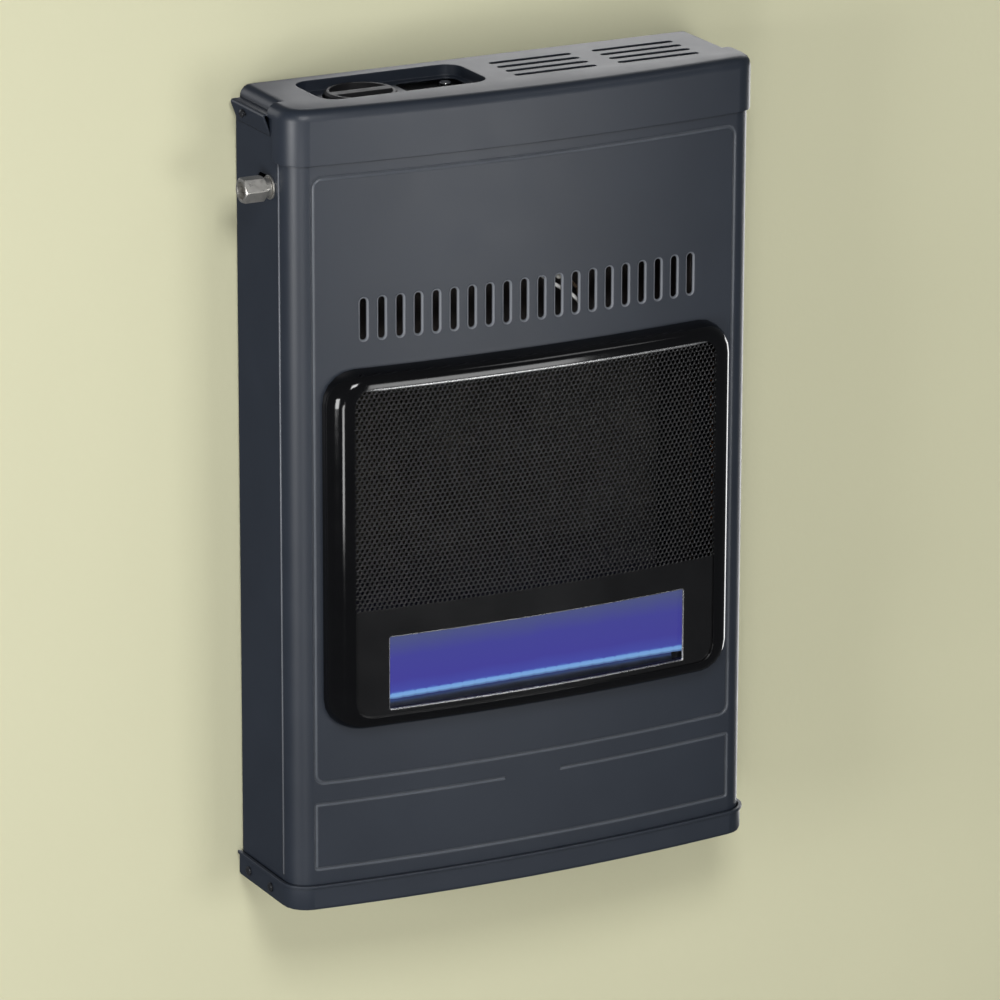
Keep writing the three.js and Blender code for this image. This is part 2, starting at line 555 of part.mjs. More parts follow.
// ---------------------------------------------------------------- gas valve on its bracket
const SHELF_Z = down(84);
const SHELF_TOP = SHELF_Z + SHEET;
const wallFace = -SHEET - SEAT;
piece('valve_bracket', sideways(shapeOf([
  V(wallFace, SHELF_Z), V(wallFace, SHELF_Z + 44), V(wallFace - SHEET, SHELF_Z + 44),
  V(wallFace - SHEET, SHELF_TOP), V(-76, SHELF_TOP), V(-76, SHELF_Z),
]), -150, -8), STEEL, 0.5, 0.8);

const ROTOR_R = 10;
const SPINDLE_R = 4;
const ROTOR_LOW = down(65);
const ROTOR_HIGH = down(35);
const VALVE_X0 = -141;
const VALVE_X1 = -87;
let valve = block(VALVE_X0, VALVE_X1, -70, -20, SHELF_TOP + SEAT, down(48));
valve = valve.add(pillar(KNOB_X, KNOB_Y, 14, down(50), down(40)));
valve = valve.subtract(pillar(KNOB_X, KNOB_Y, ROTOR_R + SEAT, ROTOR_LOW - SEAT, down(39)));
piece('valve_body', valve, 0xa8aaac, 0.5, 0.7);

let rotor = pillar(KNOB_X, KNOB_Y, ROTOR_R, ROTOR_LOW, ROTOR_HIGH);
rotor = rotor.subtract(pillar(KNOB_X, KNOB_Y, SPINDLE_R + SEAT, ROTOR_LOW + 4, ROTOR_HIGH + 1, 16));
piece('valve_rotor', rotor, BRASS, 0.35, 0.9);

const KNOB_LOW = down(27);
const KNOB_HIGH = down(4.2);
const SPINDLE_HIGH = KNOB_LOW + 6;
piece('knob_spindle', pillar(KNOB_X, KNOB_Y, SPINDLE_R, ROTOR_LOW + 4 + KNOB_PRESS + 1, SPINDLE_HIGH, 16), STEEL, 0.3, 0.9);

// round knob: a grip bar stands between two deep finger hollows
const KNOB_RIM = 3.6;
let knob = turned([
  [0, KNOB_LOW], [KNOB_R - 1.5, KNOB_LOW], [KNOB_R, KNOB_LOW + 3], [KNOB_R, KNOB_HIGH - 1.6],
  [KNOB_R - 1.4, KNOB_HIGH], [0, KNOB_HIGH],
], 40).translate([KNOB_X, KNOB_Y, 0]);
let hollows = pillar(KNOB_X, KNOB_Y, KNOB_R - KNOB_RIM, KNOB_HIGH - 13, KNOB_HIGH + 3, 36);
hollows = hollows.subtract(block(KNOB_X - 30, KNOB_X + 30, KNOB_Y - 4.6, KNOB_Y + 4.6, KNOB_LOW, KNOB_HIGH + 4));
knob = knob.subtract(hollows);
knob = knob.subtract(pillar(KNOB_X, KNOB_Y, SPINDLE_R + SEAT, KNOB_LOW - 1, SPINDLE_HIGH + SEAT, 16));
piece('control_knob', knob, BLACK, 0.35, 0);

piece('magnet_unit', turnedX([
  [0, VALVE_X1 + SEAT], [8, VALVE_X1 + SEAT], [8, VALVE_X1 + 12], [5, VALVE_X1 + 13], [5, VALVE_X1 + 20], [0, VALVE_X1 + 20],
], -45, down(68), 16), BRASS, 0.4, 0.9);

// ---------------------------------------------------------------- push button igniter
const IGN_HIGH = down(15);
const IGN_BORE = down(45);
let igniter = turned([
  [0, SHELF_TOP + SEAT], [9, SHELF_TOP + SEAT], [9, IGN_HIGH - 8], [7.6, IGN_HIGH - 8], [7.6, IGN_HIGH], [0, IGN_HIGH],
], 24).translate([IGNITER_X, IGNITER_Y, 0]);
const BUTTON_R = 5;
igniter = igniter.subtract(pillar(IGNITER_X, IGNITER_Y, BUTTON_R + SEAT, IGN_BORE, IGN_HIGH + 1, 20));
piece('igniter_body', igniter, BLACK, 0.45, 0);
piece('igniter_ring', turned([
  [7.9, IGN_HIGH - 4], [10, IGN_HIGH - 4], [10, IGN_HIGH - 0.8], [9.4, IGN_HIGH - 0.2], [7.9, IGN_HIGH - 0.2], [7.9, IGN_HIGH - 4],
], 24).translate([IGNITER_X, IGNITER_Y, 0]), STEEL, 0.2, 1);
piece('igniter_button', turned([
  [0, IGN_BORE + IGNITER_PRESS + 1], [BUTTON_R, IGN_BORE + IGNITER_PRESS + 1], [BUTTON_R, down(10.6)],
  [BUTTON_R - 0.8, down(9.8)], [0, down(9.8)],
], 20).translate([IGNITER_X, IGNITER_Y, 0]), STEEL, 0.25, 0.9);

// ---------------------------------------------------------------- gas inlet through the left side
const NIPPLE_R = 6.2;
const inletZ = down(INLET_DROP);
const NIPPLE_OUT = -HALF - 17;
const NIPPLE_IN = -HALF + 18;
piece('inlet_nipple', turnedX([
  [3.8, NIPPLE_OUT], [NIPPLE_R, NIPPLE_OUT], [NIPPLE_R, NIPPLE_IN], [3.8, NIPPLE_IN], [3.8, NIPPLE_OUT],
], INLET_Y, inletZ, 20), ZINC, 0.4, 0.8);
const HEX_FLATS = 18;
const HEX_BORE = 6.8;
let hexSleeve = sideways(hexagon(INLET_Y, inletZ, HEX_FLATS), -HALF - 24.5, -HALF - 6.5);
const HEX_FACE = HEX_FLATS / 2 - 0.1;
hexSleeve = hexSleeve.intersect(turnedX([
  [0, -HALF - 24.5], [HEX_FACE, -HALF - 24.5], [HEX_FACE + 1.8, -HALF - 23], [HEX_FACE + 1.8, -HALF - 8], [HEX_FACE, -HALF - 6.5], [0, -HALF - 6.5],
], INLET_Y, inletZ, 32));
hexSleeve = hexSleeve.subtract(rod(INLET_Y, inletZ, HEX_BORE, -HALF - 30, NIPPLE_OUT - 1, 20));
hexSleeve = hexSleeve.subtract(rod(INLET_Y, inletZ, NIPPLE_R + SEAT, -HALF - 30, -HALF, 20));
piece('inlet_hex', hexSleeve, ZINC, 0.4, 0.8);
const ringX = (r0, r1, x0, x1) => turnedX([[r0, x0], [r1, x0], [r1, x1], [r0, x1], [r0, x0]], INLET_Y, inletZ, 24);
piece('inlet_collar', ringX(NIPPLE_R + SEAT, 7.6, -HALF - 6.2, -HALF - 1.8), ZINC, 0.4, 0.8);
piece('inlet_washer', ringX(NIPPLE_R + SEAT, 9.4, -HALF - 1.5, -HALF - SEAT), ZINC, 0.4, 0.8);
let lockNut = sideways(hexagon(INLET_Y, inletZ, 19), -HALF + SHEET + SEAT, -HALF + 7);
lockNut = lockNut.subtract(rod(INLET_Y, inletZ, NIPPLE_R + SEAT, -HALF, -HALF + 10, 20));
piece('inlet_locknut', lockNut, ZINC, 0.4, 0.8);
piece('inlet_pipe', rod(INLET_Y, inletZ, 4, NIPPLE_IN + SEAT, VALVE_X0 - SEAT, 16), 0xb0703f, 0.35, 0.9);

// ---------------------------------------------------------------- pipes and leads
const COPPER = 0xb0703f;
const runX = (share) => BOX_HALF + share * (HALF - BOX_HALF); // runs down between the firebox and the right side panel
piece('burner_pipe', tube([
  V3(VALVE_X0 - SEAT, -30, down(74)), V3(-148, -30, down(74)), V3(-162, -31, down(76)), V3(-176, -36, down(92)), V3(-184, -58, down(140)),
  V3(ARM_X - 5, BURNER_Y, down(210)), V3(ARM_X - 5, BURNER_Y, up(300)), V3(ARM_X - 5, BURNER_Y, barZ + 7 + SEAT),
], 3, 30, 8), COPPER, 0.35, 0.9);
piece('pilot_pipe', tube([
  V3(-105, -70 - SEAT, down(74)), V3(-105, -74, down(74)), V3(-104, -85, down(78)), V3(-92, -94, down(95)), V3(-84, -94, down(120)),
  V3(-83.3, -94, down(150)), V3(-83, -94, down(184)), V3(-76, -92.5, down(199)), V3(-60, -91.5, down(203)), V3(60, -91.5, down(203)), V3(130, -91.5, down(203)),
  V3(BOX_HALF + 5, -90.5, down(210)), V3(runX(0.48), -80, down(230)), V3(runX(0.56), BURNER_Y, down(265)), V3(runX(0.56), BURNER_Y, up(BURNER_Z + 50)),
  V3(runX(0.44), BURNER_Y, up(BURNER_Z + 30)), V3(runX(0.28), BURNER_Y, PILOT_Z), V3(BOX_HALF + 6 + SEAT, BURNER_Y, PILOT_Z),
], 1.8, 48), COPPER, 0.35, 0.9);

const pilotEnd = (x0, x1, y, r, n = 16) => rod(y, PILOT_Z, r, x0, x1, n);
let pilotBurner = pilotEnd(BOX_HALF - 34, BOX_HALF + 6, BURNER_Y, 4.5);
pilotBurner = pilotBurner.subtract(pilotEnd(BOX_HALF - 36, BOX_HALF, BURNER_Y, 3.2));
piece('pilot_burner', pilotBurner, BRASS, 0.4, 0.9);
const PLATE_X = BOX_HALF - SHEET - SEAT;
let pilotPlate = block(PLATE_X - SHEET, PLATE_X, -87, -54, PILOT_Z - 9, PILOT_Z + 9);
for (const [y, r] of pilotLine) pilotPlate = pilotPlate.subtract(rod(y, PILOT_Z, r + SEAT, PLATE_X - 4, PLATE_X + 4, 16));
piece('pilot_plate', pilotPlate, STEEL, 0.5, 0.8);

const thermoLead = tube([
  V3(VALVE_X1 + 20 + SEAT, -45, down(68)), V3(-63, -45, down(68)), V3(-57, -54, down(68)), V3(-52, -82, down(74)), V3(-34, -92.5, down(95)), V3(-5, -93.5, down(123)), V3(6, -94, down(133)), V3(16, -97, down(143)),
  V3(26, -98.5, down(151)), V3(38, -98, down(160)), V3(45, -97, down(168)), V3(47.6, -96, down(182)), V3(48, -96, down(198)),
  V3(58, -96, down(210)), V3(125, -95.5, down(212)), V3(BOX_HALF + 2, -93, down(216)), V3(runX(0.32), -80, down(238)), V3(runX(0.36), PROBE_Y, down(272)),
  V3(runX(0.36), PROBE_Y, up(BURNER_Z + 50)), V3(runX(0.26), PROBE_Y, up(BURNER_Z + 28)), V3(BOX_HALF + 8, PROBE_Y, PILOT_Z), V3(BOX_HALF + 4, PROBE_Y, PILOT_Z),
], 1.4, 56);
const probe = turnedX([
  [0, BOX_HALF - 38], [1.4, BOX_HALF - 37.4], [2.5, BOX_HALF - 34], [2.5, BOX_HALF + 5], [0, BOX_HALF + 5],
], PROBE_Y, PILOT_Z, 16);
piece('thermocouple', thermoLead.add(probe), 0xa08a6a, 0.35, 0.9);

piece('spark_electrode', turnedX([
  [0, BOX_HALF - 40], [0.9, BOX_HALF - 40], [0.9, BOX_HALF - 24], [3, BOX_HALF - 24], [3, BOX_HALF + 8], [0, BOX_HALF + 8],
], SPARK_Y, PILOT_Z, 16), 0xe8e6df, 0.4, 0);
piece('ignition_lead', tube([
  V3(IGNITER_X + 9 + SEAT, IGNITER_Y, down(60)), V3(-22, IGNITER_Y, down(60)), V3(-12, -36, down(60)), V3(-4, -56, down(68)), V3(4, -82, down(92)), V3(1, -98, down(118)), V3(2, -102, down(140)), V3(10, -102, down(151)),
  V3(25, -102, down(161.5)), V3(40, -101.5, down(172)), V3(46.5, -101, down(182)), V3(48, -101, down(191)),
  V3(58, -101, down(196)), V3(125, -97.5, down(196)), V3(BOX_HALF + 2, -93, down(200)), V3(runX(0.68), -85, down(236)), V3(runX(0.76), SPARK_Y, down(270)),
  V3(runX(0.76), SPARK_Y, up(BURNER_Z + 50)),
  V3(runX(0.6), SPARK_Y, up(BURNER_Z + 30)), V3(runX(0.36), SPARK_Y, PILOT_Z), V3(BOX_HALF + 8 + SEAT, SPARK_Y, PILOT_Z),
], 1.5, 56), 0xd8d8d4, 0.5, 0);

// ---------------------------------------------------------------- screws through the tray and the cap
function screw(name, side, y, z, seatX, r) {
  const points = [[0, seatX - 8.5], [1.7, seatX - 8.5], [1.7, seatX], [r, seatX], [r, seatX + 1.2], [r * 0.6, seatX + 2.1], [0, seatX + 2.1]];
  const body = turnedX(points, y, z, 16);
  piece(name, side < 0 ? mirrored(body) : body, STEEL, 0.3, 0.9);
}
for (const [word, side] of [['left', -1], ['right', 1]]) {
  screw(`tray_screw_${word}_rear`, side, trayScrews[0], TRAY_SCREW_Z, HALF + CAP_OUT + SEAT, 3.8);
  screw(`tray_screw_${word}_front`, side, trayScrews[1], TRAY_SCREW_Z, HALF + CAP_OUT + SEAT, 3.8);
  screw(`cap_screw_${word}`, side, CAP_SCREW_Y, CAP_SCREW_Z, HALF + CAP_OUT + LEDGE_OUT + SEAT, 3.2);
}

export default group;
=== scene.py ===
# %% [markdown]
# # A wall mounted gas heater
# The part is a tall, slim room heater: a folded steel case with a bowed front, a black enamelled
# screen with a flame window, and a control recess in the top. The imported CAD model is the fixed
# frame. This notebook dresses it: each cell says what a piece or a finish is on the real object
# and then makes it in the same place.

# %% Load the frame
import math

import bmesh
import bpy
from mathutils import Matrix, Vector
from mathutils.geometry import delaunay_2d_cdt


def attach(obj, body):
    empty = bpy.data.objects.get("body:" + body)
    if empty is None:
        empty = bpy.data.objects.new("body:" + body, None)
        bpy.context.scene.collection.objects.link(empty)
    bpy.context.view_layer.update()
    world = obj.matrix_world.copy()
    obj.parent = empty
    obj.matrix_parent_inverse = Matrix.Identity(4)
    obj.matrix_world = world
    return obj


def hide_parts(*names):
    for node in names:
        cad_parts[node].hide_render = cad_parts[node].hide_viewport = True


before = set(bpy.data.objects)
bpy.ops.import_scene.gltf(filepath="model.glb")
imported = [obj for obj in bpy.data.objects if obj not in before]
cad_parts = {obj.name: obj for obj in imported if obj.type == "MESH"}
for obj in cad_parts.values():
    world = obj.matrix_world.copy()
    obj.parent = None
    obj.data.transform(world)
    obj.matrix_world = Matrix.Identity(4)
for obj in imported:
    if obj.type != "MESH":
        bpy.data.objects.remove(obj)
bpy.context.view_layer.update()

MM = 0.001

# %% [markdown]
# ## Driving sizes
# These repeat the few sizes of the case that the dressing needs. Heights are measured up from the
# underside of the bottom tray, as a sheet metal worker would measure them on the bench.

# %% Driving sizes
WIDTH = 400.0
HEIGHT = 640.0
EDGE_DEPTH = 94.0
BULGE = 14.0


def up(height):
    """Height above the tray's underside, in the frame's own Z."""
    return height - HEIGHT / 2


def bow_y(x, out=0.0):
    """Depth of the bowed front at x, standing out by a further amount."""
    return -(EDGE_DEPTH + BULGE * (1 - (2 * x / WIDTH) ** 2) + out)


def bow_normal(x):
    """Outward direction of the bowed front at x."""
    return Vector((8 * BULGE * x / WIDTH ** 2, -1.0, 0.0)).normalized()


print("front stands", -bow_y(0), "mm from the wall at its middle")

# %% [markdown]
# ## Camera
# The photographer stood to the left of the heater and a little above it, with a long lens. The
# direction and distance come from fitting the case's straight edges, so the same edges fall in
# the same places in the frame. The lens isn't shifted, so that other views stay centred.

# %% Camera
CAMERA_YAW = math.radians(27.57)
CAMERA_PITCH = math.radians(17.61)
CAMERA_ROLL = math.radians(-0.16)
CAMERA_OFFSET = Vector((-24.8, -37.4, 5138.4)) * MM
FOCAL_PIXELS = 6525.0
FRAME_PIXELS = 1000.0


def make_camera():
    """A camera set by its yaw, pitch and roll, and by where the frame's origin lies before it."""
    ahead = Vector((math.sin(CAMERA_YAW) * math.cos(CAMERA_PITCH),
                    math.cos(CAMERA_YAW) * math.cos(CAMERA_PITCH), -math.sin(CAMERA_PITCH)))
    right = Vector((math.cos(CAMERA_YAW), -math.sin(CAMERA_YAW), 0.0))
    down = ahead.cross(right)
    row_x = right * math.cos(CAMERA_ROLL) + down * math.sin(CAMERA_ROLL)
    row_y = -right * math.sin(CAMERA_ROLL) + down * math.cos(CAMERA_ROLL)
    place = -(row_x * CAMERA_OFFSET.x + row_y * CAMERA_OFFSET.y + ahead * CAMERA_OFFSET.z)
    data = bpy.data.cameras.new("camera")
    data.sensor_width = 36.0
    data.lens = FOCAL_PIXELS / FRAME_PIXELS * data.sensor_width
    data.clip_start, data.clip_end = 0.1, 50.0
    camera = bpy.data.objects.new("camera", data)
    bpy.context.scene.collection.objects.link(camera)
    turn = Matrix((row_x, -row_y, -ahead)).transposed()
    camera.matrix_world = Matrix.Translation(place) @ turn.to_4x4()
    bpy.context.scene.camera = camera
    return camera


camera = make_camera()
print("camera", [round(v, 2) for v in camera.location], "lens", round(camera.data.lens, 1))

# %% [markdown]
# ## Material helpers
# Every finish is a small node tree: a Principled shader with noise driving its colour, roughness
# and bump. Object coordinates are in metres, so a noise scale of 1000 has grains about a
# millimetre wide on every piece.

# %% Material helpers
def new_tree(name):
    """An empty material with its output node."""
    material = bpy.data.materials.new(name)
    material.use_nodes = True
    material.node_tree.nodes.clear()
    tree = material.node_tree
    output = tree.nodes.new("ShaderNodeOutputMaterial")
    return material, tree, output


def node(tree, kind, **values):
    """A node with its properties, and its unlinked inputs by name, set."""
    made = tree.nodes.new("ShaderNode" + kind)
    for key, value in values.items():
        if hasattr(made, key):
            setattr(made, key, value)
        else:
            made.inputs[key.replace("_", " ")].default_value = value
    return made


def noise(tree, where, scale, detail=3.0, rough=0.5):
    """Noise on object coordinates."""
    made = node(tree, "TexNoise", Scale=scale, Detail=detail, Roughness=rough)
    tree.links.new(where, made.inputs["Vector"])
    return made.outputs["Fac"]


def spread(tree, value, low, high, from_low=0.3, from_high=0.7):
    """Maps a noise value to a working range."""
    made = node(tree, "MapRange")
    made.inputs["From Min"].default_value = from_low
    made.inputs["From Max"].default_value = from_high
    made.inputs["To Min"].default_value = low
    made.inputs["To Max"].default_value = high
    tree.links.new(value, made.inputs["Value"])
    return made.outputs["Result"]


def blend_colour(tree, share, first, second):
    """Mixes two colours, each a plain colour or a socket, by a share."""
    made = node(tree, "Mix", data_type="RGBA")
    for socket, colour in ((made.inputs[6], first), (made.inputs[7], second)):
        if isinstance(colour, bpy.types.NodeSocket):
            tree.links.new(colour, socket)
        else:
            socket.default_value = (*colour, 1.0)
    tree.links.new(share, made.inputs[0])
    return made.outputs[2]


def edge_mask(tree, radius):
    """1 along sharp edges and 0 on flat faces, from the difference a small rounding makes."""
    rounded = node(tree, "Bevel", samples=4, Radius=radius)
    plain = node(tree, "NewGeometry")
    dot = node(tree, "VectorMath", operation="DOT_PRODUCT")
    tree.links.new(rounded.outputs["Normal"], dot.inputs[0])
    tree.links.new(plain.outputs["Normal"], dot.inputs[1])
    return spread(tree, dot.outputs["Value"], 1.0, 0.0, 0.80, 0.985), rounded.outputs["Normal"]


print("material helpers ready")

# %% [markdown]
# ## Satin powder coat
# The case is sprayed with a dark bluish grey powder and baked. The cured coat has a very fine
# orange peel, a slow drift in tone and slightly polished edges where hands and cloths rub. A
# Bevel node rounds the folded edges for the light only, which catches the thin bright lines that
# a real folded sheet shows.

# %% A general finish
def finish(name, base, second, rough, metal=0.0, grain=900.0, drift=9.0, bump=0.12,
           bump_height=0.00004, edge=None, edge_share=0.5, edge_radius=0.0009, specular=0.5,
           rough_spread=0.06, form=None):
    """Colour drift, roughness drift, fine bump and worn edges for one finish.

    A form is a pair: a function that gives a height from a place, and that height's full depth.
    """
    material, tree, output = new_tree(name)
    where = node(tree, "TexCoord").outputs["Object"]
    shader = node(tree, "BsdfPrincipled", Metallic=metal)
    shader.inputs["Specular IOR Level"].default_value = specular
    slow = noise(tree, where, drift, 4.0, 0.55)
    fine = noise(tree, where, grain, 2.0, 0.5)
    colour = blend_colour(tree, spread(tree, slow, 0.0, 1.0), base, second)
    wear, rounded = edge_mask(tree, edge_radius)
    if edge is not None:
        patchy = node(tree, "Math", operation="MULTIPLY")
        patches = spread(tree, noise(tree, where, 60.0, 3.0), 0.2 * edge_share, edge_share)
        tree.links.new(wear, patchy.inputs[0])
        tree.links.new(patches, patchy.inputs[1])
        colour = blend_colour(tree, patchy.outputs[0], colour, edge)
    tree.links.new(colour, shader.inputs["Base Color"])
    smear = spread(tree, noise(tree, where, drift * 4, 5.0, 0.6), rough - rough_spread, rough + rough_spread)
    tree.links.new(smear, shader.inputs["Roughness"])
    relief = node(tree, "Bump", Strength=bump, Distance=bump_height)
    tree.links.new(fine, relief.inputs["Height"])
    tree.links.new(rounded, relief.inputs["Normal"])
    if form is not None:
        pressed = node(tree, "Bump", Strength=1.0, Distance=form[1])
        tree.links.new(form[0](tree, where), pressed.inputs["Height"])
        tree.links.new(relief.outputs["Normal"], pressed.inputs["Normal"])
        relief = pressed
    tree.links.new(relief.outputs["Normal"], shader.inputs["Normal"])
    tree.links.new(shader.outputs[0], output.inputs["Surface"])
    return material


casing_paint = finish("casing_paint", (0.016, 0.021, 0.031), (0.020, 0.026, 0.038), 0.42, grain=1500.0,
                      bump=0.22, edge=(0.10, 0.11, 0.13), edge_share=0.35, edge_radius=0.0012,
                      rough_spread=0.02)
print("made", casing_paint.name)

# %% [markdown]
# ## Enamel, metals and plastics
# The front ring is dipped in black vitreous enamel and fired. It is glass, so it is nearly black
# with clean, sharp reflections and only a slow waviness. Each metal, plastic, fibre and ceramic
# could have a tree of its own, but they differ only in tone, gloss and grain, so one recipe with
# other values serves them all. A paler coat of the case paint on an edge or in a line paints the
# highlight that the light draws there, and pale polished metal paints the bright lines on enamel lips.

# %% Enamel, metals and plastics
black_enamel = finish("black_enamel", (0.0018, 0.0018, 0.0022), (0.0032, 0.0032, 0.0038), 0.09,
                      grain=110.0, bump=0.05, bump_height=0.0002, edge=(0.02, 0.02, 0.022),
                      edge_share=0.3, rough_spread=0.02, specular=0.42)
zinc = finish("zinc", (0.46, 0.45, 0.42), (0.60, 0.58, 0.54), 0.36, metal=0.85, grain=700.0, drift=90.0,
              bump=0.35, edge=(0.62, 0.60, 0.55), edge_share=0.7, edge_radius=0.0006, rough_spread=0.12)
plain_steel = finish("plain_steel", (0.30, 0.31, 0.32), (0.42, 0.43, 0.44), 0.42, metal=0.9,
                     grain=500.0, drift=30.0, bump=0.3, edge=(0.6, 0.6, 0.6), edge_share=0.6,
                     rough_spread=0.1)
heated_steel = finish("heated_steel", (0.045, 0.043, 0.045), (0.09, 0.075, 0.07), 0.5, metal=0.7,
                      grain=600.0, drift=25.0, bump=0.35, edge=(0.20, 0.19, 0.19), edge_share=0.4,
                      rough_spread=0.12)
bright_steel = finish("bright_steel", (0.55, 0.55, 0.56), (0.66, 0.66, 0.66), 0.2, metal=1.0,
                      grain=900.0, drift=120.0, bump=0.15, edge=(0.8, 0.8, 0.8), edge_share=0.6,
                      edge_radius=0.0004)
black_screw = finish("black_screw", (0.03, 0.032, 0.036), (0.05, 0.052, 0.058), 0.3, metal=0.6,
                     grain=900.0, drift=150.0, bump=0.2, edge=(0.3, 0.3, 0.32), edge_share=0.7,
                     edge_radius=0.0004)
brass = finish("brass", (0.42, 0.28, 0.10), (0.50, 0.35, 0.15), 0.3, metal=1.0, grain=800.0, drift=80.0,
               bump=0.2, edge=(0.7, 0.55, 0.3), edge_share=0.5, edge_radius=0.0005)
copper = finish("copper", (0.42, 0.17, 0.08), (0.55, 0.25, 0.13), 0.3, metal=1.0, grain=500.0,
                drift=60.0, bump=0.2, edge=(0.7, 0.4, 0.25), edge_share=0.3, edge_radius=0.0004)
valve_alloy = finish("valve_alloy", (0.36, 0.36, 0.37), (0.46, 0.46, 0.47), 0.5, metal=0.8, grain=350.0,
                     drift=60.0, bump=0.5, edge=(0.65, 0.65, 0.65), edge_share=0.6)
black_plastic = finish("black_plastic", (0.010, 0.010, 0.011), (0.016, 0.016, 0.018), 0.50,
                       grain=1300.0, drift=40.0, bump=0.3, edge=(0.06, 0.06, 0.065), edge_share=0.5,
                       edge_radius=0.0007)
fibre = finish("fibre", (0.045, 0.042, 0.038), (0.085, 0.08, 0.07), 0.9, grain=420.0, drift=40.0,
               bump=0.8, bump_height=0.0003, specular=0.2)
white_ceramic = finish("white_ceramic", (0.72, 0.71, 0.66), (0.80, 0.79, 0.75), 0.2, grain=500.0,
                       drift=80.0, bump=0.15)
lead_sleeve = finish("lead_sleeve", (0.50, 0.50, 0.50), (0.66, 0.66, 0.64), 0.35, grain=600.0,
                     drift=50.0, bump=0.25)
# painted highlight: a paler coat of the case paint for the light caught by slot edges and the returns' cut
# edges
edge_highlight_paint = finish("edge_highlight_paint", (0.13, 0.14, 0.16), (0.17, 0.18, 0.20), 0.36, grain=1500.0,
                      bump=0.2, edge=(0.26, 0.27, 0.29), edge_share=0.4, edge_radius=0.0006,
                      rough_spread=0.03)
# painted highlight: a paler coat than the case for the light on the pressed lines' flanks
pressed_line_highlight_paint = finish("pressed_line_highlight_paint", (0.060, 0.068, 0.082), (0.075, 0.084, 0.100), 0.34, grain=1500.0,
                    bump=0.2, edge=(0.16, 0.17, 0.19), edge_share=0.4, edge_radius=0.0006,
                    rough_spread=0.02)
# painted highlight: pale polished metal on lips that are black enamel, for their bright lines
lip_highlight_metal = finish("lip_highlight_metal", (0.42, 0.42, 0.425), (0.52, 0.52, 0.52), 0.27, metal=0.9,
                      grain=900.0, drift=30.0, bump=0.15, rough_spread=0.05)
thermo_lead = finish("thermo_lead", (0.38, 0.26, 0.16), (0.50, 0.36, 0.24), 0.28, metal=0.95,
                     grain=600.0, drift=60.0, bump=0.2)
print("made", len(bpy.data.materials), "materials")

# %% [markdown]
# ## Heat resisting glass
# A thin clear pane closes the flame window. It is mostly transparent, with a faint grey tint, a
# sharp sheen and the light smears that any wiped pane keeps.

# %% Glass
def make_glass():
    """Thin clear glass that light and shadow rays pass through."""
    material, tree, output = new_tree("glass")
    where = node(tree, "TexCoord").outputs["Object"]
    clear = node(tree, "BsdfTransparent")
    clear.inputs["Color"].default_value = (0.93, 0.94, 0.97, 1.0)
    sheen = node(tree, "BsdfGlossy", Roughness=0.03)
    tree.links.new(spread(tree, noise(tree, where, 30.0, 4.0), 0.02, 0.10), sheen.inputs["Roughness"])
    share = node(tree, "Fresnel", IOR=1.45)
    both = node(tree, "MixShader")
    tree.links.new(share.outputs[0], both.inputs[0])
    tree.links.new(clear.outputs[0], both.inputs[1])
    tree.links.new(sheen.outputs[0], both.inputs[2])
    tree.links.new(both.outputs[0], output.inputs["Surface"])
    return material


glass = make_glass()
print("made", glass.name)

# %% [markdown]
# ## Dressing a CAD piece
# The CAD solids are faceted: triangles that share no corners, each shaded flat. A dressed copy
# joins the corners, shades smoothly across shallow angles and keeps sharp folds sharp. On the
# bowed front the exact curve is known, so its own direction is used for shading. That keeps the
# reflections even around the slots, where the triangles are long and thin.

# %% Dressing helpers
ALONG_THE_BOW = 0.995  # a face this nearly square to the bow's own direction belongs to the bow
JOIN = 2e-6  # corners closer than this, in metres, are one corner


def link(name, mesh, material, body):
    """Adds a mesh object with one material, riding on a body."""
    mesh.materials.clear()
    mesh.materials.append(material)
    made = bpy.data.objects.new(name, mesh)
    bpy.context.scene.collection.objects.link(made)
    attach(made, body)
    return made


def world_mesh(cad):
    """A copy of a CAD node's mesh in the frame's own coordinates, corners joined."""
    made = bmesh.new()
    made.from_mesh(cad.data)
    made.transform(cad.matrix_world)
    bmesh.ops.remove_doubles(made, verts=made.verts, dist=JOIN)
    bmesh.ops.dissolve_degenerate(made, dist=JOIN, edges=made.edges)
    return made


def corner_normals(mesh, bowed):
    """Shading directions: the exact curve on the bowed skin, the joined ones elsewhere."""
    mesh.calc_loop_triangles()
    kept = [corner.vector.copy() for corner in mesh.corner_normals]
    for face in mesh.polygons:
        centre = face.center
        if abs(centre.x) > bowed * MM:
            continue
        side = face.normal.dot(bow_normal(centre.x / MM))
        if abs(side) < ALONG_THE_BOW:
            continue
        for corner in face.loop_indices:
            vertex = mesh.vertices[mesh.loops[corner].vertex_index]
            kept[corner] = bow_normal(vertex.co.x / MM) * (1 if side > 0 else -1)
    mesh.normals_split_custom_set(kept)


def dress(name, material, body="casing", angle=32.0, bowed=0.0):
    """A smooth copy that stands for a CAD node."""
    shape = world_mesh(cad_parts[name])
    for face in shape.faces:
        face.smooth = True
    for edge in shape.edges:
        sharp = len(edge.link_faces) != 2 or edge.calc_face_angle(0.0) > math.radians(angle)
        edge.smooth = not sharp
    mesh = bpy.data.meshes.new("dressed_" + name)
    shape.to_mesh(mesh)
    shape.free()
    if bowed:
        corner_normals(mesh, bowed)
    made = link("dressed_" + name, mesh, material, body)
    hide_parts(name)
    return made


def casing_object(name, shape, material, bowed=0.0):
    """Turns a finished bmesh into a piece of the casing."""
    mesh = bpy.data.meshes.new(name)
    shape.to_mesh(mesh)
    shape.free()
    if bowed:
        corner_normals(mesh, bowed)
    made = link(name, mesh, material, "casing")
    return made


def sharpen_folds(shape, angle):
    """Smooth shading across shallow angles, sharp along folds."""
    for edge in shape.edges:
        edge.smooth = edge.calc_face_angle(0.0) < math.radians(angle)


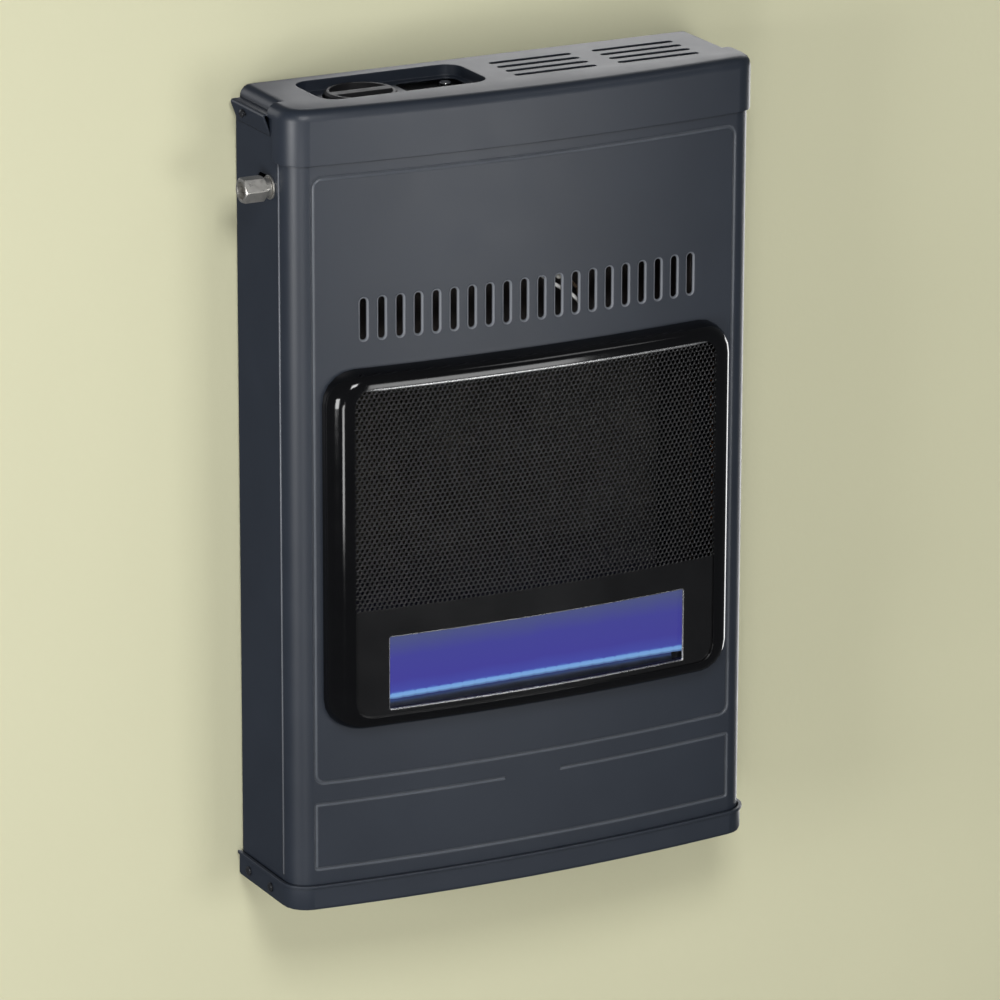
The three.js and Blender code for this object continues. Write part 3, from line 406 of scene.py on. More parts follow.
def join_rings(shape, rings):
    """Faces between each closed ring of corners and the next."""
    for low, high in zip(rings, rings[1:]):
        for k, corner in enumerate(low):
            n = (k + 1) % len(low)
            shape.faces.new([corner, low[n], high[n], high[k]])


print("dressing helpers ready")

# %% [markdown]
# ## The painted case
# Five folded sheets make the case: two side panels, the bowed front with its twenty outlet
# slots, the cap and the tray. They are the right shape already, so each gets a smooth copy in
# the powder coat.

# %% Painted case
BOWED_HALF = 181.0
PAINTED = {"front_panel": BOWED_HALF, "top_cover": BOWED_HALF, "bottom_tray": BOWED_HALF,
           "left_side_panel": 0.0, "right_side_panel": 0.0}
for name, bowed in PAINTED.items():
    piece = dress(name, casing_paint, bowed=bowed)
    print(piece.name, len(piece.data.polygons), "faces")

# %% [markdown]
# ## The enamelled ring
# A pressed ring stands proud of the front around the screen, with a soft rolled outer edge. It
# is dipped in the same black enamel as the screen.

# %% Enamelled ring
ring = dress("enamelled_frame", black_enamel, angle=50.0)
print(ring.name, len(ring.data.polygons), "faces")

# %% [markdown]
# ## The perforated screen
# The screen is one bowed plate, punched with some four thousand staggered round holes above a
# plain band that holds the flame window. Holes cut by booleans would be slow and ragged, so the
# plate is laid out flat as a net of small cells, each with its own round hole, with a plain
# border sewn on by a triangulation. Then it is bent to the bow of the front. Sizes across are in
# millimetres from the middle, heights from the tray's underside, and depths out from the bow.

# %% Screen sizes
PLATE_HALF = 162.0
PLATE_LOW, PLATE_HIGH = 155.5, 426.5
PLATE_BACK, PLATE_FRONT = 15.3, 16.5
PLATE_CORNER = 14.0
WINDOW_HALF, WINDOW_LOW, WINDOW_HIGH = 129.5, 163.0, 223.0
WINDOW_CORNER = 2.0
CELLS_ACROSS = 78
CELLS_UP = 52
CELL_WIDE = 4.0
CELL_HIGH = 3.4
HOLE_RADIUS = 1.45
HOLE_SIDES = 8
FIELD_LOW = 245.0
field_high = FIELD_LOW + CELLS_UP * CELL_HIGH
field_half = (CELLS_ACROSS + 0.5) * CELL_WIDE / 2
print("holed field", 2 * field_half, "by", round(field_high - FIELD_LOW, 1), "mm")


# %% Lay out the holed field
def flat_screen():
    """Points, faces and hole rims of the flat screen, seen from the front as (x, height)."""
    points, faces, rims, known = [], [], [], {}

    def point(x, z):
        key = (round(x, 3), round(z, 3))
        if key not in known:
            known[key] = len(points)
            points.append(key)
        return known[key]

    half_w, half_h = CELL_WIDE / 2, CELL_HIGH / 2
    corners = [(half_w, half_h), (0, half_h), (-half_w, half_h), (-half_w, 0),
               (-half_w, -half_h), (0, -half_h), (half_w, -half_h), (half_w, 0)]
    for row in range(CELLS_UP):
        shift = CELL_WIDE / 4 if row % 2 else -CELL_WIDE / 4
        z = FIELD_LOW + (row + 0.5) * CELL_HIGH
        for column in range(CELLS_ACROSS):
            x = (column - (CELLS_ACROSS - 1) / 2) * CELL_WIDE + shift
            outer = [point(x + dx, z + dz) for dx, dz in corners]
            hole = []
            for k in range(HOLE_SIDES):
                turn = math.radians(360 / HOLE_SIDES) * (k + 1)
                hole.append(len(points))
                points.append((x + HOLE_RADIUS * math.cos(turn), z + HOLE_RADIUS * math.sin(turn)))
            rims.append(hole)
            for k in range(HOLE_SIDES):
                n = (k + 1) % HOLE_SIDES
                faces.append([outer[k], outer[n], hole[n], hole[k]])
    return points, faces, rims


points, faces, rims = flat_screen()
print(len(rims), "holes,", len(points), "points")

# %% [markdown]
# ## The webs between the holes
# Punching and then dipping leaves the thin webs slightly domed, highest where three holes meet.
# The enamel on them is drawn a little greyer than on the ring, which paints the sheen the webs
# catch, and a little softer. Doming each cell in the mesh would need many times the faces, so the
# same lattice is drawn by three cosines as a bump, which fades out at the edge of the holed field.

# %% Enamel of the screen
FADE = 0.6


def web_height(tree, where):
    """Height of the webs: highest where three holes meet, level outside the holed field."""
    split = node(tree, "SeparateXYZ")
    tree.links.new(where, split.inputs[0])

    def wave(axis, period, start):
        turn = node(tree, "Math", operation="MULTIPLY_ADD")
        tree.links.new(split.outputs[axis], turn.inputs[0])
        turn.inputs[1].default_value = 2 * math.pi / (period * MM)
        turn.inputs[2].default_value = -2 * math.pi * start / period
        cosine = node(tree, "Math", operation="COSINE")
        tree.links.new(turn.outputs[0], cosine.inputs[0])
        return cosine.outputs[0]

    def joined(operation, first, second):
        made = node(tree, "Math", operation=operation)
        for socket, value in zip(made.inputs, (first, second)):
            if isinstance(value, bpy.types.NodeSocket):
                tree.links.new(value, socket)
            else:
                socket.default_value = value
        return made.outputs[0]

    def inside(value, edge):
        return spread(tree, value, 0.0, 1.0, edge + FADE * MM, edge - FADE * MM)

    first_row = up(FIELD_LOW + CELL_HIGH / 2)
    middle = up((FIELD_LOW + field_high) / 2) * MM
    crossed = joined("MULTIPLY", wave("X", CELL_WIDE, CELL_WIDE / 4), wave("Z", 2 * CELL_HIGH, first_row))
    rows = wave("Z", CELL_HIGH, first_row)
    webs = joined("SUBTRACT", 0.0, joined("ADD", joined("MULTIPLY", crossed, 2.0), rows))
    across = joined("ABSOLUTE", split.outputs["X"], 0.0)
    along = joined("ABSOLUTE", joined("SUBTRACT", split.outputs["Z"], middle), 0.0)
    field = joined("MULTIPLY", inside(across, field_half * MM),
                   inside(along, (field_high - FIELD_LOW) / 2 * MM))
    return joined("MULTIPLY", webs, field)


# painted sheen: the webs' enamel is greyer than the ring's, for the light the domed webs catch
screen_enamel_painted_sheen = finish("screen_enamel_painted_sheen", (0.0050, 0.0050, 0.0054), (0.0080, 0.0080, 0.0086), 0.17,
                       grain=110.0, bump=0.05, bump_height=0.0002, rough_spread=0.03,
                       form=(web_height, 0.0003))
print("made", screen_enamel_painted_sheen.name)

# %% [markdown]
# ## The plain border
# Round the holed field the plate is plain, with rounded corners and the window cut in its lower
# band. Its outline, the window and the field's own edge are given to a triangulation that keeps
# them as edges. Two rows of extra points in the band keep the triangles short, so that they can
# follow the bow.

# %% Sew on the plain border
BAND_ROWS = (229.0, 237.0)
BAND_STEP = 8.0


def rounded_outline(x0, x1, z0, z1, radius, step=8.0, arc=4):
    """A rounded rectangle as points, counter-clockwise, with extra points along its long edges."""
    corners = []
    for cx, cz, start in ((x1 - radius, z0 + radius, -90), (x1 - radius, z1 - radius, 0),
                          (x0 + radius, z1 - radius, 90), (x0 + radius, z0 + radius, 180)):
        for k in range(arc + 1):
            turn = math.radians(start + 90 * k / arc)
            corners.append((cx + radius * math.cos(turn), cz + radius * math.sin(turn)))
    outline = []
    for k, a in enumerate(corners):
        b = corners[(k + 1) % len(corners)]
        parts = max(1, round(math.dist(a, b) / step))
        outline += [(a[0] + (b[0] - a[0]) * j / parts, a[1] + (b[1] - a[1]) * j / parts)
                    for j in range(parts)]
    return outline


def open_edges(faces):
    """Directed edges that belong to one face only."""
    found = {}
    for face in faces:
        for k, a in enumerate(face):
            b = face[(k + 1) % len(face)]
            if (b, a) in found:
                del found[(b, a)]
            else:
                found[(a, b)] = True
    return list(found)


def sew_border(points, faces, rims):
    """Adds the plain border between the holed field, the window and the plate's outline."""
    rim_points = {i for rim in rims for i in rim}
    field_edges = [e for e in open_edges(faces) if e[0] not in rim_points]
    used = sorted({i for e in field_edges for i in e})
    local = {i: k for k, i in enumerate(used)}
    net = [Vector(points[i]) for i in used]
    edges = [(local[a], local[b]) for a, b in field_edges]
    for outline in (rounded_outline(-PLATE_HALF, PLATE_HALF, PLATE_LOW, PLATE_HIGH, PLATE_CORNER),
                    rounded_outline(-WINDOW_HALF, WINDOW_HALF, WINDOW_LOW, WINDOW_HIGH, WINDOW_CORNER)):
        first = len(net)
        net += [Vector(p) for p in outline]
        edges += [(first + k, first + (k + 1) % len(outline)) for k in range(len(outline))]
    for z in BAND_ROWS:
        net += [Vector((x * BAND_STEP, z)) for x in range(-19, 20)]
    new_points, _, new_faces, origin = delaunay_2d_cdt(net, edges, [], 0, 1e-5)[:4]
    index = {}
    for k, p in enumerate(new_points):
        source = [i for i in origin[k] if i < len(used)]
        if source:
            index[k] = used[source[0]]
        else:
            index[k] = len(points)
            points.append((p.x, p.y))
    field = {}
    for a, b in field_edges:
        z = (points[a][1] + points[b][1]) / 2
        if abs(points[a][0] - points[b][0]) < 1e-6:
            row = int((z - FIELD_LOW) // CELL_HIGH)
            low, high = field.get(row, (1e9, -1e9))
            field[row] = (min(low, points[a][0]), max(high, points[a][0]))
    added = 0
    for face in new_faces:
        x = sum(new_points[i].x for i in face) / 3
        z = sum(new_points[i].y for i in face) / 3
        row = field.get(int((z - FIELD_LOW) // CELL_HIGH)) if FIELD_LOW < z < field_high else None
        in_field = row is not None and row[0] < x < row[1]
        in_window = abs(x) < WINDOW_HALF and WINDOW_LOW < z < WINDOW_HIGH
        if in_field or in_window:
            continue
        a, b, c = (new_points[i] for i in face)
        turn = (b - a).cross(c - a)
        if abs(turn) < 1e-6:
            continue
        order = face if turn > 0 else tuple(reversed(face))
        faces.append([index[i] for i in order])
        added += 1
    return added


print("border triangles:", sew_border(points, faces, rims))


# %% Give the screen its thickness and its bow
FOLD_ANGLE = 40


def bowed_plate(name, points, faces, back, front, material):
    """A closed plate from a flat layout, bent to the bow of the front."""
    shape = bmesh.new()
    layers = []
    for out in (front, back):
        layers.append([shape.verts.new((x * MM, bow_y(x, out) * MM, up(z) * MM)) for x, z in points])
    for face in faces:
        shape.faces.new([layers[0][i] for i in face]).smooth = True
        shape.faces.new([layers[1][i] for i in reversed(face)]).smooth = True
    for a, b in open_edges(faces):
        shape.faces.new([layers[0][b], layers[0][a], layers[1][a], layers[1][b]]).smooth = True
    loose = [v for v in shape.verts if not v.link_faces]
    bmesh.ops.delete(shape, geom=loose, context="VERTS")
    sharpen_folds(shape, FOLD_ANGLE)
    print(name, "open edges:", sum(1 for e in shape.edges if len(e.link_faces) != 2))
    return casing_object(name, shape, material, bowed=PLATE_HALF)


screen = bowed_plate("perforated_screen", points, faces, PLATE_BACK, PLATE_FRONT, screen_enamel_painted_sheen)
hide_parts("perforated_plate")
print(screen.name, len(screen.data.polygons), "faces")

# %% [markdown]
# ## Rolled edges of the slots and the window
# A press tool draws the edge of each slot inwards, so the edge is a small quarter round and not
# a knife cut. On the real case light catches it as a pale line down the right side and round the foot of
# every slot, and the strip's paler coat paints that highlight. Each edge is a closed strip swept round
# the opening: its section starts flush with the sheet and curls in and back. The window in the screen
# has the same kind of edge, in pale polished metal that paints its highlight.

# %% Rolled edges
LONG_SIDE, LONG_PARTS = 100, 40  # a side longer than this is cut into parts, to follow the bow
CURL_STEPS = 6
SUNK = 0.02  # the strip starts this far behind the sheet's face


def rolled_section(radius, tail, thick):
    """Points (inwards, backwards) of a quarter round with a short straight tail."""
    curl = []
    for k in range(CURL_STEPS + 1):
        turn = math.pi / 2 * k / CURL_STEPS
        curl.append((radius * math.sin(turn), SUNK + radius * (1 - math.cos(turn))))
    return curl + [(radius, radius + tail), (radius - thick, radius + tail),
                   (radius - thick, radius + 0.1), (0.0, thick + 0.25)]


def opening_outline(x0, x1, z0, z1, radius, inwards):
    """A rounded opening, drawn in by some amount, with the same number of points each time."""
    r = max(radius - inwards, 0.15)
    x0, x1, z0, z1 = x0 + inwards, x1 - inwards, z0 + inwards, z1 - inwards
    outline = []
    for cx, cz, start in ((x1 - r, z0 + r, -90), (x1 - r, z1 - r, 0),
                          (x0 + r, z1 - r, 90), (x0 + r, z0 + r, 180)):
        for k in range(7):
            turn = math.radians(start + 15 * k)
            outline.append((cx + r * math.cos(turn), cz + r * math.sin(turn)))
    closed = []
    for k, a in enumerate(outline):
        b = outline[(k + 1) % len(outline)]
        parts = LONG_PARTS if math.dist(a, b) > LONG_SIDE else 1
        closed += [(a[0] + (b[0] - a[0]) * j / parts, a[1] + (b[1] - a[1]) * j / parts) for j in range(parts)]
    return closed


def broken_outline(outline, edge, gap):
    """An outline opened along its upper side, between the two ends of a gap."""
    middle = sum(z for _, z in edge) / len(edge)
    inside = [k for k, (x, z) in enumerate(edge) if z > middle and gap[0] < x < gap[1]]
    top = outline[inside[0]][1]
    return [(gap[0], top)] + outline[inside[-1] + 1:] + outline[:inside[0]] + [(gap[1], top)]


def rolled_edges(name, openings, section, out, material, gap=None):
    """A closed swept strip round each opening in the bowed front, with a gap on top if asked."""
    shape = bmesh.new()
    for x0, x1, z0, z1, radius in openings:
        rings = []
        for inwards, back in section:
            outline = opening_outline(x0, x1, z0, z1, radius, inwards)
            if gap:
                outline = broken_outline(outline, opening_outline(x0, x1, z0, z1, radius, 0.0), gap)
            rings.append([shape.verts.new((x * MM, bow_y(x, out - back) * MM, up(z) * MM))
                          for x, z in outline])
        count = len(rings[0])
        for j, ring in enumerate(rings):
            after = rings[(j + 1) % len(rings)]
            for k in range(count - 1 if gap else count):
                n = (k + 1) % count
                shape.faces.new([ring[k], ring[n], after[n], after[k]]).smooth = True
        if gap:
            shape.faces.new([ring[0] for ring in rings])
            shape.faces.new([ring[-1] for ring in rings])
    bmesh.ops.recalc_face_normals(shape, faces=shape.faces)
    sharpen_folds(shape, FOLD_ANGLE)
    made = casing_object(name, shape, material)
    print(name, len(made.data.polygons), "faces")


print("rolled section:", rolled_section(1.0, 0.5, 0.4)[:2], "and on")

# %% Edges of the slots and the window
SLOT_COUNT, SLOT_SPAN, SLOT_HALF = 20, 283.0, 4.1
SLOT_LOW, SLOT_HIGH = 455.5, 491.0
slot_centres = [(k / (SLOT_COUNT - 1) - 0.5) * SLOT_SPAN for k in range(SLOT_COUNT)]
slots = [(x - SLOT_HALF, x + SLOT_HALF, SLOT_LOW, SLOT_HIGH, SLOT_HALF - 0.01) for x in slot_centres]
window = (-WINDOW_HALF, WINDOW_HALF, WINDOW_LOW, WINDOW_HIGH, WINDOW_CORNER)
# the slot edges' paler coat is a painted highlight; the window's lip is pale polished metal for its painted
# highlight
rolled_edges("slot_edges", slots, rolled_section(1.35, 0.7, 0.45), 0.0, edge_highlight_paint)
rolled_edges("window_edge", [window], rolled_section(0.95, 0.35, 0.4), PLATE_FRONT, lip_highlight_metal)

# %% [markdown]
# ## Pressed lines
# The lines round the upper and the lower field are pressed with a blunt rounded tool. The CAD
# grooves have square walls, so each gets a hollow lining that curves from one lip of the groove
# to the other. Light then slides over it softly: dark on one flank and pale on the other. The
# lining is a paler coat than the case, which paints a highlight on the lines.

# %% Pressed lines
LINE_WIDE, LINE_DEEP, LINE_FLOOR, LINE_STEPS = 3.0, 0.72, 0.79, 8
FIELD_HALF = 183.5
UPPER_FIELD = (-FIELD_HALF, FIELD_HALF, 102.5, HEIGHT - 52, 9.0)
LOWER_FIELD = (-FIELD_HALF, FIELD_HALF, 32.0, 88.0, 3.0)
LOWER_GAP = (-22.6, 25.9)
hollow = [(LINE_WIDE * (0.01 + 0.98 * k / LINE_STEPS), 0.01 + LINE_DEEP * math.sin(math.pi * k / LINE_STEPS))
          for k in range(LINE_STEPS + 1)]
hollow += [(0.99 * LINE_WIDE, LINE_FLOOR), (0.01 * LINE_WIDE, LINE_FLOOR)]
rolled_edges("upper_pressed_line", [UPPER_FIELD], hollow, 0.0, pressed_line_highlight_paint)
rolled_edges("lower_pressed_line", [LOWER_FIELD], hollow, 0.0, pressed_line_highlight_paint, gap=LOWER_GAP)

# %% [markdown]
# ## Edges of the front's returns
# The bowed front folds back along each side and ends there over the side panel. The cut edge of the
# sheet catches the light and shows as one thin pale upright line. A slim round bar on the fold's
# end, in a paler coat that paints that highlight, is enough for it.

# %% Edges of the returns
RETURN_Y = -75.9
RETURN_LOW, RETURN_HIGH = 26.0, 596.5
BAR_RADIUS = 0.75


def upright_bar(name, x, y, low, high, radius, material):
    """A slim round upright bar with closed ends."""
    shape = bmesh.new()
    bmesh.ops.create_cone(shape, cap_ends=True, segments=12, radius1=radius * MM, radius2=radius * MM,
                          depth=(high - low) * MM)
    for vert in shape.verts:
        vert.co += Vector((x, y, up((low + high) / 2))) * MM
    for face in shape.faces:
        face.smooth = len(face.verts) == 4
    return casing_object(name, shape, material)


# each bar's paler coat is a painted highlight along the return's cut edge
for name, side in (("left_return_edge", -1), ("right_return_edge", 1)):
    bar = upright_bar(name, side * (WIDTH / 2 + 0.1), RETURN_Y, RETURN_LOW, RETURN_HIGH, BAR_RADIUS,
                      edge_highlight_paint)
    print(bar.name, len(bar.data.polygons), "faces")

# %% [markdown]
# ## A rib along the top of the screen
# Just under the ring the screen carries a thin pressed rib. It stiffens the plate, and on the real
# heater light draws one long bright line along it. A half round bar is bent to the same bow and
# closed at both ends, in pale polished metal that paints that highlight on the black enamel.

# %% Rib
RIB_HALF, RIB_HEIGHT, RIB_RADIUS = 152.0, 421.9, 1.5
RIB_COLUMNS, RIB_SIDES = 60, 10


def bowed_rib(name, half, height, radius, out, material):
    """A thin round bar along the bow, half sunk into the screen and thinner at its ends."""
    shape = bmesh.new()
    rings = []
    for i in range(RIB_COLUMNS + 1):
        x = -half + 2 * half * i / RIB_COLUMNS
        taper = min(1.0, 0.35 + 0.22 * min(i, RIB_COLUMNS - i))
        ring = []
        for k in range(RIB_SIDES):
            turn = 2 * math.pi * k / RIB_SIDES
            ring.append(shape.verts.new((x * MM, bow_y(x, out + taper * radius * math.sin(turn)) * MM,
                                         up(height + taper * radius * math.cos(turn)) * MM)))
        rings.append(ring)
    join_rings(shape, rings)
    shape.faces.new(list(reversed(rings[0])))
    shape.faces.new(rings[-1])
    bmesh.ops.recalc_face_normals(shape, faces=shape.faces)
    for face in shape.faces:
        face.smooth = len(face.verts) == 4
    return casing_object(name, shape, material)


rib = bowed_rib("screen_rib", RIB_HALF, RIB_HEIGHT, RIB_RADIUS, PLATE_FRONT, lip_highlight_metal)
print(rib.name, len(rib.data.polygons), "faces")

# %% [markdown]
# ## The flame
# Behind the glass the burner's ports give a row of small blue flames that run together. The eye
# sees a thin pale blue line along the ports with a violet haze above it. A closed thin curtain
# with a glow that fades with height gives the haze, and a row of low tongues that run into each
# other stands in front of it and draws the bright line.

# %% Light of the flame
FLAME_LOW, FLAME_HIGH = 160.9, 218.0
TONGUE_TALL = 5.6


def flame_material(name, stops, strength, low, high):
    """Light given off by the flame, coloured by height above the ports."""
    material, tree, output = new_tree(name)
    where = node(tree, "TexCoord").outputs["Object"]
    split = node(tree, "SeparateXYZ")
    tree.links.new(where, split.inputs[0])
    rise = node(tree, "MapRange")
    rise.inputs["From Min"].default_value = up(low) * MM
    rise.inputs["From Max"].default_value = up(high) * MM
    tree.links.new(split.outputs["Z"], rise.inputs["Value"])
    shift = node(tree, "Math", operation="MULTIPLY_ADD")
    shift.inputs[1].default_value = 0.10
    tree.links.new(noise(tree, where, 28.0, 2.0), shift.inputs[0])
    tree.links.new(rise.outputs[0], shift.inputs[2])
    ramp = node(tree, "ValToRGB")
    ramp.color_ramp.elements.remove(ramp.color_ramp.elements[1])
    ramp.color_ramp.elements[0].position = stops[0][0]
    ramp.color_ramp.elements[0].color = (*stops[0][1], 1.0)
    for place, colour in stops[1:]:
        ramp.color_ramp.elements.new(place).color = (*colour, 1.0)
    tree.links.new(shift.outputs[0], ramp.inputs[0])
    shader = node(tree, "BsdfPrincipled", Roughness=0.6)
    shader.inputs["Base Color"].default_value = (0.0, 0.0, 0.0, 1.0)
    shader.inputs["Specular IOR Level"].default_value = 0.0
    shader.inputs["Emission Strength"].default_value = strength
    tree.links.new(ramp.outputs["Color"], shader.inputs["Emission Color"])
    tree.links.new(shader.outputs[0], output.inputs["Surface"])
    return material


haze_glow = flame_material("haze_glow", [
    (0.04, (0.14, 0.30, 0.75)), (0.14, (0.074, 0.085, 0.42)), (0.30, (0.069, 0.062, 0.35)),
    (0.62, (0.070, 0.068, 0.34)), (0.85, (0.085, 0.10, 0.26)), (1.0, (0.10, 0.12, 0.22)),
], 1.0, FLAME_LOW, FLAME_HIGH)
tongue_glow = flame_material("tongue_glow", [
    (0.0, (0.14, 0.22, 0.50)), (0.25, (0.12, 0.22, 0.40)), (0.45, (0.24, 0.46, 0.80)),
    (0.8, (0.22, 0.44, 0.82)), (1.0, (0.085, 0.13, 0.50)),
], 1.0, FLAME_LOW, FLAME_LOW + TONGUE_TALL)
print("made", haze_glow.name, "and", tongue_glow.name)

# %% Haze
HAZE_Y, HAZE_HALF = -88.6, 147.0


def flame_haze(columns=96, rows=8):
    """A closed thin curtain over the ports, gently waved along its length."""
    shape = bmesh.new()
    grid = {}
    for side in (0, 1):
        for i in range(columns + 1):
            x = -HAZE_HALF + 2 * HAZE_HALF * i / columns
            wave = 1.2 * math.sin(i * 0.71) + 0.7 * math.sin(i * 1.93 + 0.5)
            for j in range(rows + 1):
                share = j / rows
                z = FLAME_LOW + 0.4 + (FLAME_HIGH - FLAME_LOW - 0.4) * share
                thick = 0.9 - 0.5 * share
                y = HAZE_Y + 0.4 * wave * share + (thick if side else -thick)
                grid[side, i, j] = shape.verts.new((x * MM, y * MM, up(z) * MM))
    for i in range(columns):
        for j in range(rows):
            shape.faces.new([grid[0, i, j], grid[0, i + 1, j], grid[0, i + 1, j + 1], grid[0, i, j + 1]])
            shape.faces.new([grid[1, i, j + 1], grid[1, i + 1, j + 1], grid[1, i + 1, j], grid[1, i, j]])
    for i in range(columns):
        shape.faces.new([grid[1, i, 0], grid[1, i + 1, 0], grid[0, i + 1, 0], grid[0, i, 0]])
        shape.faces.new([grid[0, i, rows], grid[0, i + 1, rows], grid[1, i + 1, rows], grid[1, i, rows]])
    for j in range(rows):
        shape.faces.new([grid[1, 0, j], grid[0, 0, j], grid[0, 0, j + 1], grid[1, 0, j + 1]])
        shape.faces.new([grid[0, columns, j], grid[1, columns, j],
                         grid[1, columns, j + 1], grid[0, columns, j + 1]])
    for face in shape.faces:
        face.smooth = True
    return casing_object("flame_haze", shape, haze_glow)


haze = flame_haze()
print(haze.name, len(haze.data.polygons), "faces")

# %% Tongues
TONGUE_Y = -91.5
PORT_PITCH, PORT_COUNT = 10.4, 28
TONGUE_PROFILE = [(0.0, 5.3, 2.0), (1.2, 5.4, 2.3), (2.6, 5.4, 2.1), (3.9, 5.0, 1.5), (4.8, 3.8, 0.9)]


def flame_tongues(sides=10):
    """A row of small closed tongues, one on each port, from rings of (rise, half x, half y)."""
    shape = bmesh.new()
    for port in range(PORT_COUNT):
        x0 = (port - (PORT_COUNT - 1) / 2) * PORT_PITCH
        tall = 1.0 + 0.08 * math.sin(port * 2.3)
        rings = []
        for rise, half_x, half_y in TONGUE_PROFILE:
            z = up(FLAME_LOW + 0.3 + rise * tall)
            turns = [2 * math.pi * k / sides for k in range(sides)]
            rings.append([shape.verts.new(((x0 + half_x * math.cos(turn)) * MM,
                                           (TONGUE_Y + 0.55 * half_y * math.sin(turn)) * MM, z * MM))
                          for turn in turns])
        tip = shape.verts.new((x0 * MM, TONGUE_Y * MM, up(FLAME_LOW + 5.7 * tall) * MM))
        shape.faces.new(list(reversed(rings[0])))
        join_rings(shape, rings)
        for k in range(sides):
            shape.faces.new([rings[-1][k], rings[-1][(k + 1) % sides], tip])
    for face in shape.faces:
        face.smooth = True
    return casing_object("flame_tongues", shape, tongue_glow)


tongues = flame_tongues()
print(tongues.name, len(tongues.data.polygons), "faces")

# %% [markdown]
# ## Controls, fitting and inner parts
# The knob, the push button and the gas fitting are turned or moulded pieces that the camera sees
# up close, so they get smooth copies. The inner parts show only through slots and holes, and
# keep their CAD shape with the finish that the real piece has.

# %% Finish for every other piece
DRESSED = {
    "control_knob": ("knob", black_plastic), "knob_spindle": ("knob", plain_steel),
    "igniter_button": ("push_button", bright_steel), "igniter_ring": ("casing", bright_steel),
    "igniter_body": ("casing", black_plastic), "inlet_nipple": ("casing", zinc),
    "inlet_hex": ("casing", zinc), "inlet_collar": ("casing", zinc), "inlet_washer": ("casing", zinc),
    "inlet_locknut": ("casing", zinc), "inlet_pipe": ("casing", copper),
    "ignition_lead": ("casing", lead_sleeve), "thermocouple": ("casing", thermo_lead),
    "pilot_pipe": ("casing", copper), "burner_pipe": ("casing", copper),
    "window_glass": ("casing", glass), "burner_bar": ("casing", plain_steel),
    "tray_screw_left_rear": ("casing", black_screw), "tray_screw_left_front": ("casing", black_screw),
    "tray_screw_right_rear": ("casing", black_screw), "tray_screw_right_front": ("casing", black_screw),
    "cap_screw_left": ("casing", black_screw), "cap_screw_right": ("casing", black_screw),
    "spark_electrode": ("casing", white_ceramic), "pilot_burner": ("casing", brass),
    "mixing_tube": ("casing", plain_steel), "magnet_unit": ("casing", brass),
    "valve_body": ("casing", valve_alloy), "valve_rotor": ("rotor", brass),
    "injector": ("casing", brass),
}
for name, (body, material) in DRESSED.items():
    dress(name, material, body=body, angle=38.0)
print("dressed", len(DRESSED), "more pieces")

# %% [markdown]
# ## The bead on the lead
# A white ceramic bead is threaded on the thermocouple lead and shows through the slots. It is a
# ball drawn out along the lead, which is quicker than turning a profile and looks the same.

# %% Bead on the thermocouple lead
def bead(name, centre, half_long, radius, material):
    """A small turned bead: a ball drawn out along X."""
    shape = bmesh.new()
    bmesh.ops.create_uvsphere(shape, u_segments=20, v_segments=12, radius=radius * MM)
    for vert in shape.verts:
        vert.co.x *= half_long / radius
        vert.co += Vector(centre) * MM
    for face in shape.faces:
        face.smooth = True
    return casing_object(name, shape, material)


lead_bead = bead("lead_bead", (27.0, -99.0, up(486.2)), 3.2, 2.7, white_ceramic)
print(lead_bead.name, len(lead_bead.data.polygons), "faces")

# %% [markdown]
# ## The folded inner sheets
# Back panel, firebox, hood, rails and brackets are plain folded sheets that the camera sees only
# from far or through holes. They could be dressed too, but their flat CAD faces are already what
# folded sheet looks like, so each only gets the finish of the real one.

# %% Keep the folded inner sheets as they are, with a finish
KEPT = {
    "back_panel": plain_steel, "glass_rail_upper": heated_steel, "glass_rail_lower": heated_steel,
    "firebox": heated_steel, "heat_hood": heated_steel, "firebox_bracket_left": plain_steel,
    "firebox_bracket_right": plain_steel, "fibre_board": fibre, "burner_foot_left": heated_steel,
    "burner_foot_right": heated_steel, "injector_bracket": plain_steel, "valve_bracket": plain_steel,
    "pilot_plate": heated_steel,
}
for name, material in KEPT.items():
    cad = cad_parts[name]
    for slot in cad.material_slots:
        slot.material = material
finished = {*KEPT, *DRESSED, *PAINTED, "enamelled_frame", "perforated_plate"}
missing = set(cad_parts) - finished
print("kept", len(KEPT), "CAD pieces; without a finish:", sorted(missing))

# %% [markdown]
# ## Stage
# The heater hangs on a pale plastered wall above a pale floor. The wall lets light through, and
# it is clear from behind, so that the back of the heater can be looked at and lit as well. Wall
# and floor stay out of the reflections, which would otherwise grey the black enamel.

